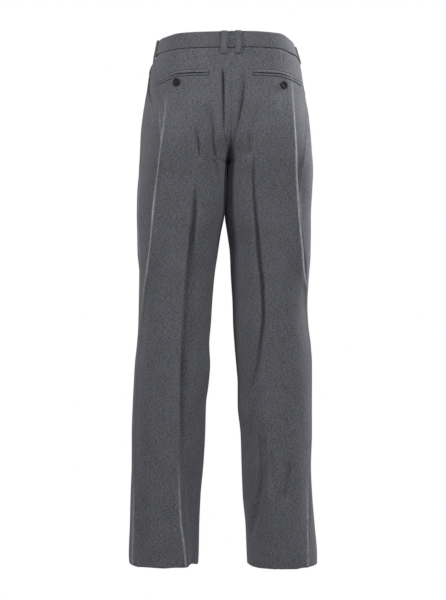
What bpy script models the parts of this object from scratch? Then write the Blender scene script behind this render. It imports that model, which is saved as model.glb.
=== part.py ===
"""Pleated dress trousers, filled out as worn and held up at the waist.

Metres, +Z up. The front faces -Y and the wearer's left is +X. The origin is the
middle of the waist ring, half way up the waistband. Heights are given as drops:
distances below the origin. Tables are in millimetres, a row for each section.

Every section is half of the garment, cut level: a rounded loop from its inner end
round the back, the side and the front. Above the fork the loop would cross the
middle plane, and the centre seams cut it off there. Below it the loop is a leg.
"""

import math

import bmesh
import bpy
import numpy as np
from mathutils import Matrix, Vector

MM = 0.001

# Driving sizes, in millimetres
CLOTH = 1.2
BAND_CLOTH = 2.4
LOOP_CLOTH = 1.6
WELT_CLOTH = 1.0
SEAM_HALF_GAP = 0.2
SEAM_STRIP = 3.0
LIE_GAP = 0.5

BAND_TOP = -15.5
BAND_FOOT = 14.8
PANEL_TOP = 15.2
FORK = 232.5
HEM = 1021.5
BAND_PROUD = 0.6

LOOP_WIDTH = 11.0
POCKET_EDGE_WIDTH = 11.0
BUTTON_WIDTH = 15.0
BUTTON_THICKNESS = 3.0

LEFT = "left"
RIGHT = "right"
SIGN = {LEFT: 1.0, RIGHT: -1.0}
BACK = 1.0
FRONT = -1.0

# Half widths from the middle plane. An inner value below 0 is where the loop
# would end if the centre seam did not cut it off.
WIDTHS = {
    "columns": ("drop", "outer_left", "outer_right", "inner_left", "inner_right"),
    "rows": (
        (-15.5, 134.0, 133.5, -134.0, -133.5),
        (15.0, 140.0, 142.5, -140.0, -142.5),
        (46.5, 152.0, 150.5, -152.0, -150.5),
        (86.5, 158.0, 158.0, -150.0, -150.0),
        (126.5, 164.5, 163.0, -116.0, -116.0),
        (166.5, 169.0, 167.0, -64.0, -64.0),
        (190.0, 170.0, 168.5, -30.0, -30.0),
        (206.5, 170.5, 169.5, -12.5, -12.5),
        (216.0, 171.0, 170.5, -5.5, -5.5),
        (225.0, 171.5, 171.5, -1.4, -1.4),
        (232.5, 172.0, 172.0, 0.4, 0.4),
        (246.5, 172.5, 172.5, 0.6, 0.6),
        (286.5, 175.5, 171.2, 0.7, 0.6),
        (326.5, 176.0, 169.8, 2.6, 0.7),
        (366.5, 175.0, 170.4, 9.4, 5.6),
        (406.5, 174.0, 170.4, 15.0, 10.8),
        (446.5, 170.4, 168.2, 20.6, 12.8),
        (506.5, 171.0, 165.8, 25.4, 17.0),
        (546.5, 171.6, 168.0, 27.6, 18.4),
        (586.5, 174.0, 173.3, 30.6, 21.3),
        (626.5, 178.0, 176.0, 28.6, 25.0),
        (666.5, 180.0, 176.2, 31.4, 28.2),
        (706.5, 181.8, 176.2, 36.4, 28.4),
        (766.5, 183.4, 176.4, 37.8, 34.6),
        (826.5, 183.2, 174.6, 41.0, 36.8),
        (886.5, 185.0, 177.4, 46.2, 39.4),
        (946.5, 186.1, 182.5, 48.7, 45.3),
        (1006.5, 188.0, 187.6, 49.7, 48.0),
        (1021.5, 187.0, 187.6, 50.5, 49.0),
    ),
}

# How far the back and front lie from the line of the sides, how far that line
# lies from the middle, and how square the loop's inner and outer halves are.
DEPTHS = {
    "columns": ("drop", "back", "front", "middle", "square_in", "square_out"),
    "rows": (
        (-15.5, 107.0, 105.0, 0.0, 2.5, 2.5),
        (15.0, 108.0, 106.0, 0.0, 2.5, 2.5),
        (60.0, 112.0, 108.0, 0.0, 2.4, 2.4),
        (100.0, 117.0, 108.0, 0.0, 2.3, 2.3),
        (140.0, 121.0, 107.0, 0.0, 2.3, 2.25),
        (180.0, 121.0, 105.0, 0.0, 2.5, 2.3),
        (215.0, 116.0, 102.0, 0.0, 2.7, 2.35),
        (232.5, 112.0, 99.0, 0.0, 2.8, 2.35),
        (270.0, 102.0, 94.0, 0.0, 2.8, 2.35),
        (330.0, 93.0, 88.0, -1.0, 2.6, 2.35),
        (400.0, 86.0, 83.0, -3.0, 2.4, 2.3),
        (500.0, 80.0, 80.0, -6.0, 2.3, 2.3),
        (600.0, 77.0, 78.0, -6.0, 2.3, 2.3),
        (750.0, 75.0, 76.0, -4.0, 2.3, 2.3),
        (900.0, 73.0, 74.0, -1.0, 2.3, 2.3),
        (1021.5, 72.0, 73.0, 2.0, 2.3, 2.3),
    ),
}

# Where the pressed creases run, and how far they stand out.
CREASES = {
    "columns": ("drop", "back_left", "back_right", "front_left", "front_right",
                "back_ridge", "front_ridge"),
    "rows": (
        (-15.5, 60.0, 60.0, 66.0, 66.0, 0.0, 0.0),
        (15.0, 60.0, 60.0, 68.0, 68.0, 0.0, 0.0),
        (120.0, 62.0, 56.0, 78.0, 76.0, 0.0, 3.0),
        (200.0, 66.0, 50.0, 86.0, 82.0, 0.0, 6.0),
        (250.0, 68.0, 49.0, 90.0, 85.0, 2.0, 8.0),
        (290.0, 70.0, 50.0, 92.0, 87.0, 5.0, 9.0),
        (355.0, 76.0, 58.0, 96.0, 90.0, 8.0, 10.0),
        (420.0, 81.5, 65.0, 99.0, 93.0, 9.0, 10.0),
        (530.0, 88.0, 72.0, 104.0, 98.0, 10.0, 11.0),
        (620.0, 92.5, 71.0, 108.0, 102.0, 10.0, 11.0),
        (700.0, 93.5, 74.0, 112.0, 107.0, 10.0, 11.0),
        (800.0, 92.5, 82.0, 119.0, 113.0, 10.0, 11.0),
        (890.0, 91.5, 90.0, 127.0, 119.0, 10.0, 11.0),
        (950.0, 86.0, 95.0, 133.0, 124.0, 10.0, 11.0),
        (1021.5, 76.0, 99.5, 140.0, 129.0, 9.0, 10.0),
    ),
}
CREASE_REACH = 24.0

# How far inside the outline, seen from behind, the side seams run.
SIDE_SEAMS = {
    "columns": ("drop", "left", "right"),
    "rows": (
        (-15.5, 1.5, 1.5),
        (15.0, 3.0, 2.0),
        (64.5, 12.0, 4.0),
        (118.5, 27.0, 9.0),
        (160.0, 34.0, 14.5),
        (200.0, 37.0, 21.0),
        (240.0, 36.0, 30.0),
        (270.0, 34.0, 34.0),
        (330.5, 29.0, 29.0),
        (392.5, 24.0, 21.0),
        (458.5, 14.0, 11.0),
        (530.5, 6.5, 6.5),
        (600.0, 5.0, 5.0),
        (800.0, 5.0, 5.0),
        (886.5, 8.0, 8.0),
        (936.5, 11.0, 16.0),
        (1021.5, 15.0, 26.0),
    ),
}

# The largest folds of the drape: where each runs (drop, distance from the middle
# plane), its half width, and its depth, which is below 0 where it stands out.
FOLDS = (
    {"side": LEFT, "face": BACK, "width": 5.0, "depth": 4.5,
     "path": ((40, 17), (90, 15.5), (150, 14), (196, 13), (226, 9))},
    {"side": RIGHT, "face": BACK, "width": 8.0, "depth": 4.0,
     "path": ((55, 28), (123, 23), (150, 18), (188, 12), (224, 8))},
    {"side": LEFT, "face": BACK, "width": 10.0, "depth": 3.0,
     "path": ((118, 48), (154, 39), (200, 34), (232, 29), (275, 26))},
    {"side": RIGHT, "face": BACK, "width": 9.0, "depth": 2.5,
     "path": ((120, 58), (160, 48), (205, 40), (240, 36))},
    {"side": LEFT, "face": BACK, "width": 10.0, "depth": 7.0,
     "path": ((305, 62), (345, 66), (396, 71), (454, 74), (530, 77), (588, 81), (640, 86))},
    {"side": RIGHT, "face": BACK, "width": 9.0, "depth": 6.0,
     "path": ((215, 40), (290, 41), (355, 48), (422, 56), (530, 62), (600, 58), (650, 48), (705, 40))},
    {"side": RIGHT, "face": BACK, "width": 9.0, "depth": 3.5,
     "path": ((690, 60), (740, 52), (790, 46), (850, 52))},
    {"side": RIGHT, "face": BACK, "width": 9.0, "depth": 3.0,
     "path": ((780, 96), (838, 92), (900, 76), (955, 66))},
    {"side": LEFT, "face": BACK, "width": 10.0, "depth": 4.0,
     "path": ((790, 106), (880, 105), (950, 101), (1060, 94))},
    {"side": LEFT, "face": BACK, "width": 8.0, "depth": -3.0,
     "path": ((70, 122), (110, 127), (170, 128), (215, 130))},
    {"side": RIGHT, "face": BACK, "width": 8.0, "depth": -3.0,
     "path": ((70, 124), (125, 130), (200, 136), (240, 140))},
    {"side": LEFT, "face": FRONT, "width": 10.0, "depth": 4.0,
     "path": ((235, 40), (300, 52), (370, 64), (430, 70))},
    {"side": RIGHT, "face": FRONT, "width": 10.0, "depth": 3.5,
     "path": ((240, 36), (310, 50), (380, 60), (440, 64))},
    {"side": LEFT, "face": FRONT, "width": 11.0, "depth": 4.0,
     "path": ((520, 132), (590, 126), (660, 130), (730, 140))},
    {"side": RIGHT, "face": FRONT, "width": 11.0, "depth": 4.0,
     "path": ((540, 60), (600, 66), (680, 62), (740, 54))},
    {"side": RIGHT, "face": FRONT, "width": 11.0, "depth": 3.5,
     "path": ((800, 150), (880, 146), (960, 150), (1060, 154))},
)
FOLD_FADE = 30.0

# The waist pleat: a lapped fold on each front, deep at the band, running out
# into the front crease.
PLEAT = {
    "columns": ("drop", "height", "lap"),
    "rows": (
        (-20.0, 4.0, 4.5),
        (15.0, 4.0, 4.5),
        (60.0, 3.6, 2.5),
        (95.0, 3.0, 0.2),
        (130.0, 1.8, -1.6),
        (180.0, 0.0, -2.0),
        (1100.0, 0.0, -2.0),
    ),
}
PLEAT_APPROACH = 10.0
PLEAT_FOOT = 4.0
PLEAT_FACE = 9.0

PANEL_DROPS = (
    PANEL_TOP, 32.0, 52.0, 75.0, 100.0, 126.0, 152.0, 176.0, 195.0, 209.0, 219.0, 227.0,
    FORK, 243.0, 264.0, 296.0, 334.0, 374.0, 416.0, 460.0, 506.0, 548.0, 588.0, 628.0,
    668.0, 712.0, 764.0, 818.0, 872.0, 924.0, 972.0, 1004.0, HEM,
)
BACK_COLUMNS_INNER = 7
BACK_COLUMNS_OUTER = 8
FRONT_COLUMNS_OUTER = 7
FRONT_COLUMNS_INNER = 6

BAND_COLUMNS = 16
BAND_FRONT_STEP = 10.0
BAND_FRONT_ZONE = 42.0
BAND_LAP = 32.0
BAND_UNDERLAP = 16.0
BAND_LAP_LIFT = 3.2

LOOPS = (
    {"name": "belt_loop_back_left", "side": LEFT, "face": BACK, "x": 13.5},
    {"name": "belt_loop_back_right", "side": RIGHT, "face": BACK, "x": 13.5},
    {"name": "belt_loop_side_left", "side": LEFT, "face": BACK, "x": 136.6},
    {"name": "belt_loop_side_right", "side": RIGHT, "face": FRONT, "x": 136.5},
    {"name": "belt_loop_front_left", "side": LEFT, "face": FRONT, "x": 84.0},
    {"name": "belt_loop_front_right", "side": RIGHT, "face": FRONT, "x": 84.0},
)
LOOP_PATH = {
    "columns": ("drop", "lift"),
    "rows": (
        (-9.0, 1.1), (-14.0, 1.1), (-16.4, 1.7), (-17.4, 3.0), (-16.6, 4.4), (-14.0, 5.2),
        (-4.0, 5.5), (8.0, 5.5), (17.0, 4.9), (21.0, 3.6), (24.0, 2.2), (27.5, 2.2),
    ),
}

WELTS = (
    {"side": LEFT, "inner": 42.5, "outer": 140.0, "slit": 64.0},
    {"side": RIGHT, "inner": 42.5, "outer": 143.0, "slit": 65.5},
)
# How far a back pocket's mouth runs below its inner end, towards the hip.
WELT_FALLS = {
    "columns": ("across", "left", "right"),
    "rows": (
        (40.0, 0.0, 0.0),
        (90.0, 0.0, -0.8),
        (102.0, 1.0, 0.0),
        (112.0, 3.8, 2.0),
        (127.0, 9.0, 5.2),
        (140.0, 14.5, 9.0),
        (145.0, 16.5, 10.4),
    ),
}
WELT_HEIGHT = 4.6
WELT_SLIT_HALF_GAP = 0.3
WELT_COLUMNS = 14

BUTTONS = (
    {"side": LEFT, "x": 103.5, "drop": 80.0},
    {"side": RIGHT, "x": 106.5, "drop": 83.0},
)
BUTTON_SEGMENTS = 20

FLY_LENGTH = 165.0
FLY_WIDTH = 36.0
FLY_LAP = 3.0
FLY_ROWS = 9
FLY_COLUMNS = 6

POCKET_TOP_FROM_SEAM = {LEFT: 46.0, RIGHT: 66.0}
POCKET_FOOT_FROM_SEAM = 5.0
POCKET_FOOT = 168.0
POCKET_ROWS = 9
POCKET_STAND = {LEFT: 3.4, RIGHT: 1.2}

COLOURS = {
    "wool": (0.095, 0.098, 0.108, 1.0),
    "wool_band": (0.100, 0.103, 0.113, 1.0),
    "wool_trim": (0.085, 0.088, 0.097, 1.0),
    "horn": (0.016, 0.016, 0.018, 1.0),
}
ROUGHNESS = {"wool": 0.9, "wool_band": 0.9, "wool_trim": 0.9, "horn": 0.35}


def clear_scene():
    for item in list(bpy.data.objects):
        bpy.data.objects.remove(item, do_unlink=True)


def make_collection(name):
    collection = bpy.data.collections.new(name)
    bpy.context.scene.collection.children.link(collection)
    return collection


def make_material(name):
    material = bpy.data.materials.new(name)
    material.use_nodes = True
    shader = material.node_tree.nodes["Principled BSDF"]
    shader.inputs["Base Color"].default_value = COLOURS[name]
    shader.inputs["Roughness"].default_value = ROUGHNESS[name]
    shader.inputs["Metallic"].default_value = 0.0
    return material


def read(table, column, drop):
    """A column of a table at a drop, on a smooth curve that never overshoots."""
    index = table["columns"].index(column)
    drops = np.array([row[0] for row in table["rows"]], dtype=float)
    values = np.array([row[index] for row in table["rows"]], dtype=float)
    steps = np.diff(drops)
    slopes = np.diff(values) / steps
    tangents = np.zeros(len(values))
    for i in range(1, len(values) - 1):
        if slopes[i - 1] * slopes[i] > 0.0:
            before = 2.0 * steps[i] + steps[i - 1]
            after = steps[i] + 2.0 * steps[i - 1]
            tangents[i] = (before + after) / (before / slopes[i - 1] + after / slopes[i])
    tangents[0] = slopes[0]
    tangents[-1] = slopes[-1]
    drop = float(np.clip(drop, drops[0], drops[-1]))
    i = int(np.clip(np.searchsorted(drops, drop) - 1, 0, len(steps) - 1))
    t = (drop - drops[i]) / steps[i]
    start = (1 + 2 * t) * (1 - t) ** 2 * values[i] + t * (1 - t) ** 2 * steps[i] * tangents[i]
    end = t * t * (3 - 2 * t) * values[i + 1] + t * t * (t - 1) * steps[i] * tangents[i + 1]
    return float(start + end)


def path_across(path, drop):
    drops = [point[0] for point in path]
    return float(np.interp(drop, drops, [point[1] for point in path]))


class Section:
    """One half of the garment, cut level at a drop.

    A turn goes round the loop: 0 at its inner end, a quarter turn at the back,
    half a turn at the outer side and three quarters at the front.
    """

    def __init__(self, side, drop):
        self.side = side
        self.drop = drop
        outer = read(WIDTHS, "outer_" + side, drop)
        inner = read(WIDTHS, "inner_" + side, drop)
        self.outer = outer
        self.centre = 0.5 * (outer + inner)
        self.half = 0.5 * (outer - inner)
        self.back = read(DEPTHS, "back", drop)
        self.front = read(DEPTHS, "front", drop)
        self.middle = read(DEPTHS, "middle", drop)
        self.square_in = read(DEPTHS, "square_in", drop)
        self.square_out = read(DEPTHS, "square_out", drop)
        self.open = inner < SEAM_HALF_GAP

    def turn_at(self, across, face):
        """The turn at a distance from the middle plane, on the back or the front."""
        share = np.clip((self.centre - across) / self.half, -1.0, 1.0)
        square = self.square_in if share > 0.0 else self.square_out
        cosine = math.copysign(abs(share) ** (square / 2.0), share)
        turn = math.acos(cosine)
        return turn if face == BACK else 2.0 * math.pi - turn

    def bare(self, turn):
        """Points of the loop without folds, as two rows of numbers: across, depth."""
        cosine = np.cos(turn)
        sine = np.sin(turn)
        square = np.where(cosine > 0.0, self.square_in, self.square_out)
        across = self.centre - self.half * np.sign(cosine) * np.abs(cosine) ** (2.0 / square)
        reach = np.where(sine > 0.0, self.back, self.front)
        depth = self.middle + reach * np.sign(sine) * np.abs(sine) ** (2.0 / square)
        return across, depth

    def normal(self, turn):
        step = 1e-3
        ax, ay = self.bare(np.asarray(turn) - step)
        bx, by = self.bare(np.asarray(turn) + step)
        tx, ty = bx - ax, by - ay
        length = np.hypot(tx, ty)
        return -ty / length, tx / length

    def start_turn(self):
        return self.turn_at(SEAM_HALF_GAP, BACK) if self.open else 0.0

    def seam_turn(self):
        inset = read(SIDE_SEAMS, self.side, self.drop)
        return self.turn_at(self.outer - inset, BACK)

    def crease_turn(self, face):
        name = "back_" if face == BACK else "front_"
        return self.turn_at(read(CREASES, name + self.side, self.drop), face)

    def measure(self, start, end):
        """Turns along the loop with the length of cloth from the start to each."""
        turns = np.linspace(start, end, 161)
        across, depth = self.bare(turns)
        lengths = np.concatenate(([0.0], np.cumsum(np.hypot(np.diff(across), np.diff(depth)))))
        return turns, lengths

    def relief(self, turn):
        """How far the pressed creases and the folds lift the cloth at each turn."""
        across, _ = self.bare(turn)
        face = np.where(np.sin(turn) > 0.0, BACK, FRONT)
        lift = np.zeros_like(across)
        for side_face, name in ((BACK, "back"), (FRONT, "front")):
            ridge = read(CREASES, name + "_ridge", self.drop)
            line = read(CREASES, name + "_" + self.side, self.drop)
            reach = ridge * np.exp(-np.abs(across - line) / CREASE_REACH)
            edge = self.edge_fade(across)
            lift = lift + np.where(face == side_face, reach * edge, 0.0)
        for fold in FOLDS:
            if fold["side"] != self.side:
                continue
            first, last = fold["path"][0][0], fold["path"][-1][0]
            if not first < self.drop < last:
                continue
            fade = min(1.0, (self.drop - first) / FOLD_FADE, (last - self.drop) / FOLD_FADE)
            fade = fade * fade * (3.0 - 2.0 * fade)
            away = (across - path_across(fold["path"], self.drop)) / fold["width"]
            trough = -fold["depth"] * fade * np.exp(-away * away) * self.seam_fade(across)
            lift = lift + np.where(face == fold["face"], trough, 0.0)
        return lift

    def edge_fade(self, across):
        """1 over a leg's face and 0 at its inner and outer sides."""
        share = np.clip(np.abs((across - self.centre) / self.half), 0.0, 1.0)
        return 1.0 - share ** 4

    def seam_fade(self, across):
        """0 at a centre seam or an inseam, 1 a little way from it."""
        inner = SEAM_HALF_GAP if self.open else self.centre - self.half
        near = np.clip((across - inner - 2.0) / 5.0, 0.0, 1.0)
        return near * near * (3.0 - 2.0 * near)

    def points(self, turn, lift=0.0, drop=None):
        """World points in metres at turns of the loop, lifted off the cloth's face."""
        turn = np.atleast_1d(np.asarray(turn, dtype=float))
        across, depth = self.bare(turn)
        nx, ny = self.normal(turn)
        total = self.relief(turn) + lift
        x = SIGN[self.side] * (across + nx * total)
        y = depth + ny * total
        z = np.full_like(x, -self.drop if drop is None else -drop)
        return np.stack((x, y, z), axis=-1) * MM


def spread(first, last, count):
    return list(np.linspace(first, last, count + 1))[1:-1]


def back_row(side, drop):
    """Points across a back panel, from the centre seam or inseam to the side seam."""
    section = Section(side, drop)
    turns, lengths = section.measure(section.start_turn(), section.seam_turn())
    crease = float(np.interp(section.crease_turn(BACK), turns, lengths))
    first = 0.0 if section.open else SEAM_HALF_GAP
    last = lengths[-1] - SEAM_HALF_GAP
    stops = [first, first + SEAM_STRIP]
    stops += spread(first + SEAM_STRIP, crease, BACK_COLUMNS_INNER)
    stops += [crease]
    stops += spread(crease, last - SEAM_STRIP, BACK_COLUMNS_OUTER)
    stops += [last - SEAM_STRIP, last]
    return section.points(np.interp(stops, lengths, turns))


def front_row(side, drop):
    """Points across a front panel, from the side seam to the centre seam or inseam."""
    section = Section(side, drop)
    end = 2.0 * math.pi - section.start_turn()
    turns, lengths = section.measure(section.seam_turn(), end)
    crease = float(np.interp(section.crease_turn(FRONT), turns, lengths))
    first = SEAM_HALF_GAP
    last = lengths[-1] - (0.0 if section.open else SEAM_HALF_GAP)
    height = read(PLEAT, "height", drop)
    lap = read(PLEAT, "lap", drop)
    foot = -PLEAT_FOOT if lap < 0.0 else -1.5
    stops = [first, first + SEAM_STRIP]
    insets = [0.0, 0.0]
    outer = spread(first + SEAM_STRIP, crease - PLEAT_APPROACH, FRONT_COLUMNS_OUTER)
    stops += outer
    insets += [0.0] * len(outer)
    stops += [crease - PLEAT_APPROACH, crease + foot, crease + lap, crease, crease + PLEAT_FACE]
    insets += [0.0, height, height, 0.0, 0.0]
    inner = spread(crease + PLEAT_FACE, last - SEAM_STRIP, FRONT_COLUMNS_INNER)
    stops += inner + [last - SEAM_STRIP, last]
    insets += [0.0] * (len(inner) + 2)
    return section.points(np.interp(stops, lengths, turns), lift=-np.array(insets))


def grid_object(name, rows, wall, material, collection, flip):
    """A cloth wall on a grid of outer points, given row by row from top to foot."""
    rows = np.array(rows)
    if flip:
        rows = rows[:, ::-1]
    row_count, column_count = rows.shape[:2]
    mesh = bpy.data.meshes.new(name)
    shape = bmesh.new()
    bmesh.ops.create_grid(shape, x_segments=column_count - 1, y_segments=row_count - 1, size=0.5)
    for vert in shape.verts:
        column = round((vert.co.x + 0.5) * (column_count - 1))
        row = round((vert.co.y + 0.5) * (row_count - 1))
        vert.co = Vector(rows[row, column])
    shape.to_mesh(mesh)
    shape.free()
    item = bpy.data.objects.new(name, mesh)
    collection.objects.link(item)
    mesh.materials.append(material)
    mesh.shade_smooth()
    solid = item.modifiers.new("wall", "SOLIDIFY")
    solid.thickness = wall * MM
    solid.offset = -1.0
    solid.use_even_offset = True
    return item


def build_panels(collection, material):
    for side in (LEFT, RIGHT):
        flip = side == RIGHT
        backs = [back_row(side, drop) for drop in PANEL_DROPS]
        grid_object("back_" + side, backs, CLOTH, material, collection, flip)
        fronts = [front_row(side, drop) for drop in PANEL_DROPS]
        grid_object("front_" + side, fronts, CLOTH, material, collection, flip)


def band_turn_stops(section, side):
    """Turns round half a waistband, and how far each is lifted to lap the other half."""
    start = section.start_turn()
    middle_front = 1.5 * math.pi
    zone = middle_front - BAND_FRONT_ZONE / section.half
    past = BAND_LAP if side == LEFT else BAND_UNDERLAP
    end = middle_front + past / section.half
    near = int(round((BAND_FRONT_ZONE + past) / BAND_FRONT_STEP))
    strip = start + SEAM_STRIP / section.half
    turns = np.concatenate(([start], np.linspace(strip, zone, BAND_COLUMNS)[:-1],
                            np.linspace(zone, end, near + 1)))
    lifts = np.zeros_like(turns)
    if side == LEFT:
        from_middle = (turns - middle_front) * section.half
        rise = np.clip((from_middle + BAND_FRONT_ZONE) / 15.0, 0.0, 1.0)
        lifts = BAND_LAP_LIFT * rise * rise * (3.0 - 2.0 * rise)
    return turns, lifts


def build_waistband(collection, material):
    for side in (LEFT, RIGHT):
        rows = []
        for drop in (BAND_TOP, BAND_TOP + 1.0, 0.0, BAND_FOOT):
            section = Section(side, drop)
            turns, lifts = band_turn_stops(section, side)
            proud = BAND_PROUD - (0.5 if drop == BAND_TOP else 0.0)
            rows.append(section.points(turns, lift=lifts + proud))
        grid_object("waistband_" + side, rows, BAND_CLOTH, material, collection, side == RIGHT)


def strip_turns(section, middle_turn, width, columns):
    """Turns across a strip of a given width, centred on a turn."""
    turns, lengths = section.measure(middle_turn - 0.5, middle_turn + 0.5)
    middle = float(np.interp(middle_turn, turns, lengths))
    stops = np.linspace(middle - width / 2.0, middle + width / 2.0, columns + 1)
    return np.interp(stops, lengths, turns)


def build_belt_loops(collection, material):
    for loop in LOOPS:
        side = loop["side"]
        middle = Section(side, 0.0).turn_at(loop["x"], loop["face"])
        rows = []
        for drop, lift in LOOP_PATH["rows"]:
            section = Section(side, drop)
            turns = strip_turns(section, middle, LOOP_WIDTH, 2)
            rows.append(section.points(turns, lift=lift))
        grid_object(loop["name"], rows, LOOP_CLOTH, material, collection, side == RIGHT)


def build_welts(collection, material):
    for welt in WELTS:
        side = welt["side"]
        top = welt["slit"] - WELT_SLIT_HALF_GAP - WELT_HEIGHT
        foot = welt["slit"] + WELT_SLIT_HALF_GAP
        for name, first in (("upper", top), ("lower", foot)):
            rows = []
            for share, lift in ((0.0, 0.0), (0.5, 0.35), (1.0, 0.0)):
                row = []
                for across in np.linspace(welt["inner"], welt["outer"], WELT_COLUMNS + 1):
                    drop = first + share * WELT_HEIGHT + read(WELT_FALLS, side, across)
                    section = Section(side, drop)
                    turn = section.turn_at(across, BACK)
                    row.extend(section.points([turn], lift=LIE_GAP + WELT_CLOTH + lift))
                rows.append(row)
            label = "back_welt_" + name + "_" + side
            grid_object(label, rows, WELT_CLOTH, material, collection, side == RIGHT)


def build_buttons(collection, material):
    """Turned buttons with a raised rim and a dished middle."""
    half = BUTTON_WIDTH / 2.0
    tall = BUTTON_THICKNESS
    profile = (
        (0.0, 0.62 * tall), (0.52 * half, 0.66 * tall), (0.66 * half, 0.95 * tall),
        (0.84 * half, tall), (half, 0.72 * tall), (half, 0.42 * tall),
        (0.78 * half, 0.12 * tall), (0.3 * half, 0.0), (0.0, 0.0),
    )
    for button in BUTTONS:
        side = button["side"]
        name = "back_button_" + side
        mesh = bpy.data.meshes.new(name)
        outline = bmesh.new()
        verts = [outline.verts.new((x * MM, 0.0, z * MM)) for x, z in profile]
        for first, second in zip(verts, verts[1:]):
            outline.edges.new((first, second))
        outline.to_mesh(mesh)
        outline.free()
        item = bpy.data.objects.new(name, mesh)
        collection.objects.link(item)
        mesh.materials.append(material)
        turned = item.modifiers.new("turned", "SCREW")
        turned.steps = BUTTON_SEGMENTS
        turned.render_steps = BUTTON_SEGMENTS
        turned.use_merge_vertices = True
        turned.merge_threshold = 0.00001
        turned.use_smooth_shade = True
        place_on_back(item, side, button["x"], button["drop"])


def place_on_back(item, side, across, drop):
    """Stand a turned piece on the back, its axis square to the cloth."""
    def at(new_across, new_drop, lift):
        section = Section(side, new_drop)
        return Vector(section.points(section.turn_at(new_across, BACK), lift=lift)[0])

    over = (at(across + 4.0, drop, 0.0) - at(across - 4.0, drop, 0.0)).normalized()
    down = (at(across, drop + 4.0, 0.0) - at(across, drop - 4.0, 0.0)).normalized()
    out = over.cross(down).normalized() * SIGN[side]
    over = down.cross(out).normalized()
    turned = Matrix((over, -down, out)).transposed()
    if turned.determinant() < 0.0:
        turned = Matrix((-over, -down, out)).transposed()
    item.matrix_world = Matrix.Translation(at(across, drop, LIE_GAP + 0.3)) @ turned.to_4x4()


def build_fly(collection, material):
    """The fly's outer edge: a flap on the front, lapping the centre seam."""
    rows = []
    for row in range(FLY_ROWS + 1):
        share = math.sin(0.5 * math.pi * row / FLY_ROWS)
        drop = PANEL_TOP + 1.0 + share * (FLY_LENGTH - PANEL_TOP)
        curve = math.sqrt(max(0.0, 1.0 - max(0.0, (share - 0.62) / 0.38) ** 2.2))
        reach = -FLY_LAP + 6.0 + (FLY_WIDTH + FLY_LAP - 6.0) * curve
        stops = np.linspace(-FLY_LAP, reach, FLY_COLUMNS + 1)
        points = []
        for across in stops[::-1]:
            side = LEFT if across >= 0.0 else RIGHT
            section = Section(side, drop)
            turn = section.turn_at(max(abs(across), 0.0), FRONT)
            points.append(section.points(turn, lift=LIE_GAP + CLOTH)[0])
        rows.append(points)
    grid_object("fly_flap", rows, CLOTH, material, collection, False)


def build_pocket_edges(collection, material):
    """Slanted front pocket mouths, standing a little away from the hip."""
    for side in (LEFT, RIGHT):
        rows = []
        for row in range(POCKET_ROWS + 1):
            share = row / POCKET_ROWS
            drop = PANEL_TOP + 1.5 + share * (POCKET_FOOT - PANEL_TOP)
            section = Section(side, drop)
            turns, lengths = section.measure(section.seam_turn(), 1.6 * math.pi)
            top = POCKET_TOP_FROM_SEAM[side]
            start = top + share * (POCKET_FOOT_FROM_SEAM - top)
            stops = start + np.linspace(0.0, POCKET_EDGE_WIDTH, 4)
            stand = POCKET_STAND[side] * math.sin(math.pi * min(1.0, share * 1.35)) ** 2
            lifts = LIE_GAP + CLOTH + stand * np.array((1.0, 0.7, 0.25, 0.0))
            rows.append(section.points(np.interp(stops, lengths, turns), lift=lifts))
        grid_object("pocket_edge_" + side, rows, CLOTH, material, collection, side == RIGHT)


def main():
    clear_scene()
    garment = make_collection("pleated_dress_trousers")
    wool = make_material("wool")
    band = make_material("wool_band")
    trim = make_material("wool_trim")
    horn = make_material("horn")
    build_panels(garment, wool)
    build_waistband(garment, band)
    build_belt_loops(garment, trim)
    build_welts(garment, trim)
    build_buttons(garment, horn)
    build_fly(garment, wool)
    build_pocket_edges(garment, trim)


main()
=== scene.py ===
"""Pleated dress trousers in grey wool flannel, filled out as worn.

Metres, +Z up. The front faces -Y and the wearer's left is +X. Tables and distances
along the cloth are in millimetres. Walls, stitches and a button's own sizes are in
metres. A drop is the distance below the middle of the waistband, a turn goes round
one half of the garment, and a lift stands off the cloth's own face.
"""

import functools
import math

import bmesh
import bpy
import numpy as np
from bpy.props import FloatProperty, FloatVectorProperty, IntProperty, PointerProperty
from mathutils import Matrix, Vector


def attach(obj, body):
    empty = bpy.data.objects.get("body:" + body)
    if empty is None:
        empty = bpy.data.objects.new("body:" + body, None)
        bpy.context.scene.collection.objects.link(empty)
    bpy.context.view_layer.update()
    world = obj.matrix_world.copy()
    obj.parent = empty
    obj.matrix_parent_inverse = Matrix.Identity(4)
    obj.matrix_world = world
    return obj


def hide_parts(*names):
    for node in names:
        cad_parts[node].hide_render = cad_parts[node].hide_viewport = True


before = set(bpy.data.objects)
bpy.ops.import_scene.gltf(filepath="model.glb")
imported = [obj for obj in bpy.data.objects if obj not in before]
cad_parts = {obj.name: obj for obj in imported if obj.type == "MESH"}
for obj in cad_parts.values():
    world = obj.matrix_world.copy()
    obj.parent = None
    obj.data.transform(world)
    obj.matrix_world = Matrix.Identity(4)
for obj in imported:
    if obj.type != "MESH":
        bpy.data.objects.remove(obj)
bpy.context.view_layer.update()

bl_info = {
    "name": "Pleated Dress Trousers",
    "version": (1, 0, 0),
    "blender": (4, 5, 0),
    "location": "View3D > Sidebar > Trousers",
    "description": "Cuts, drapes and sews a pair of pleated dress trousers",
    "category": "Add Mesh",
}

MM = 0.001
LEFT, RIGHT = "left", "right"
SIGN = {LEFT: 1.0, RIGHT: -1.0}
BACK, FRONT = 1.0, -1.0
FACES = {BACK: "back_", FRONT: "front_"}
# A small turn for slopes, and the points at which a length of cloth is measured.
TURN_STEP = 0.004
MEASURES = 241
BODY = "root"
CLOTH_MAP = "cloth"
RUMPLE_SETS = ((LEFT, BACK), (RIGHT, BACK), (LEFT, FRONT), (RIGHT, FRONT))

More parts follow.
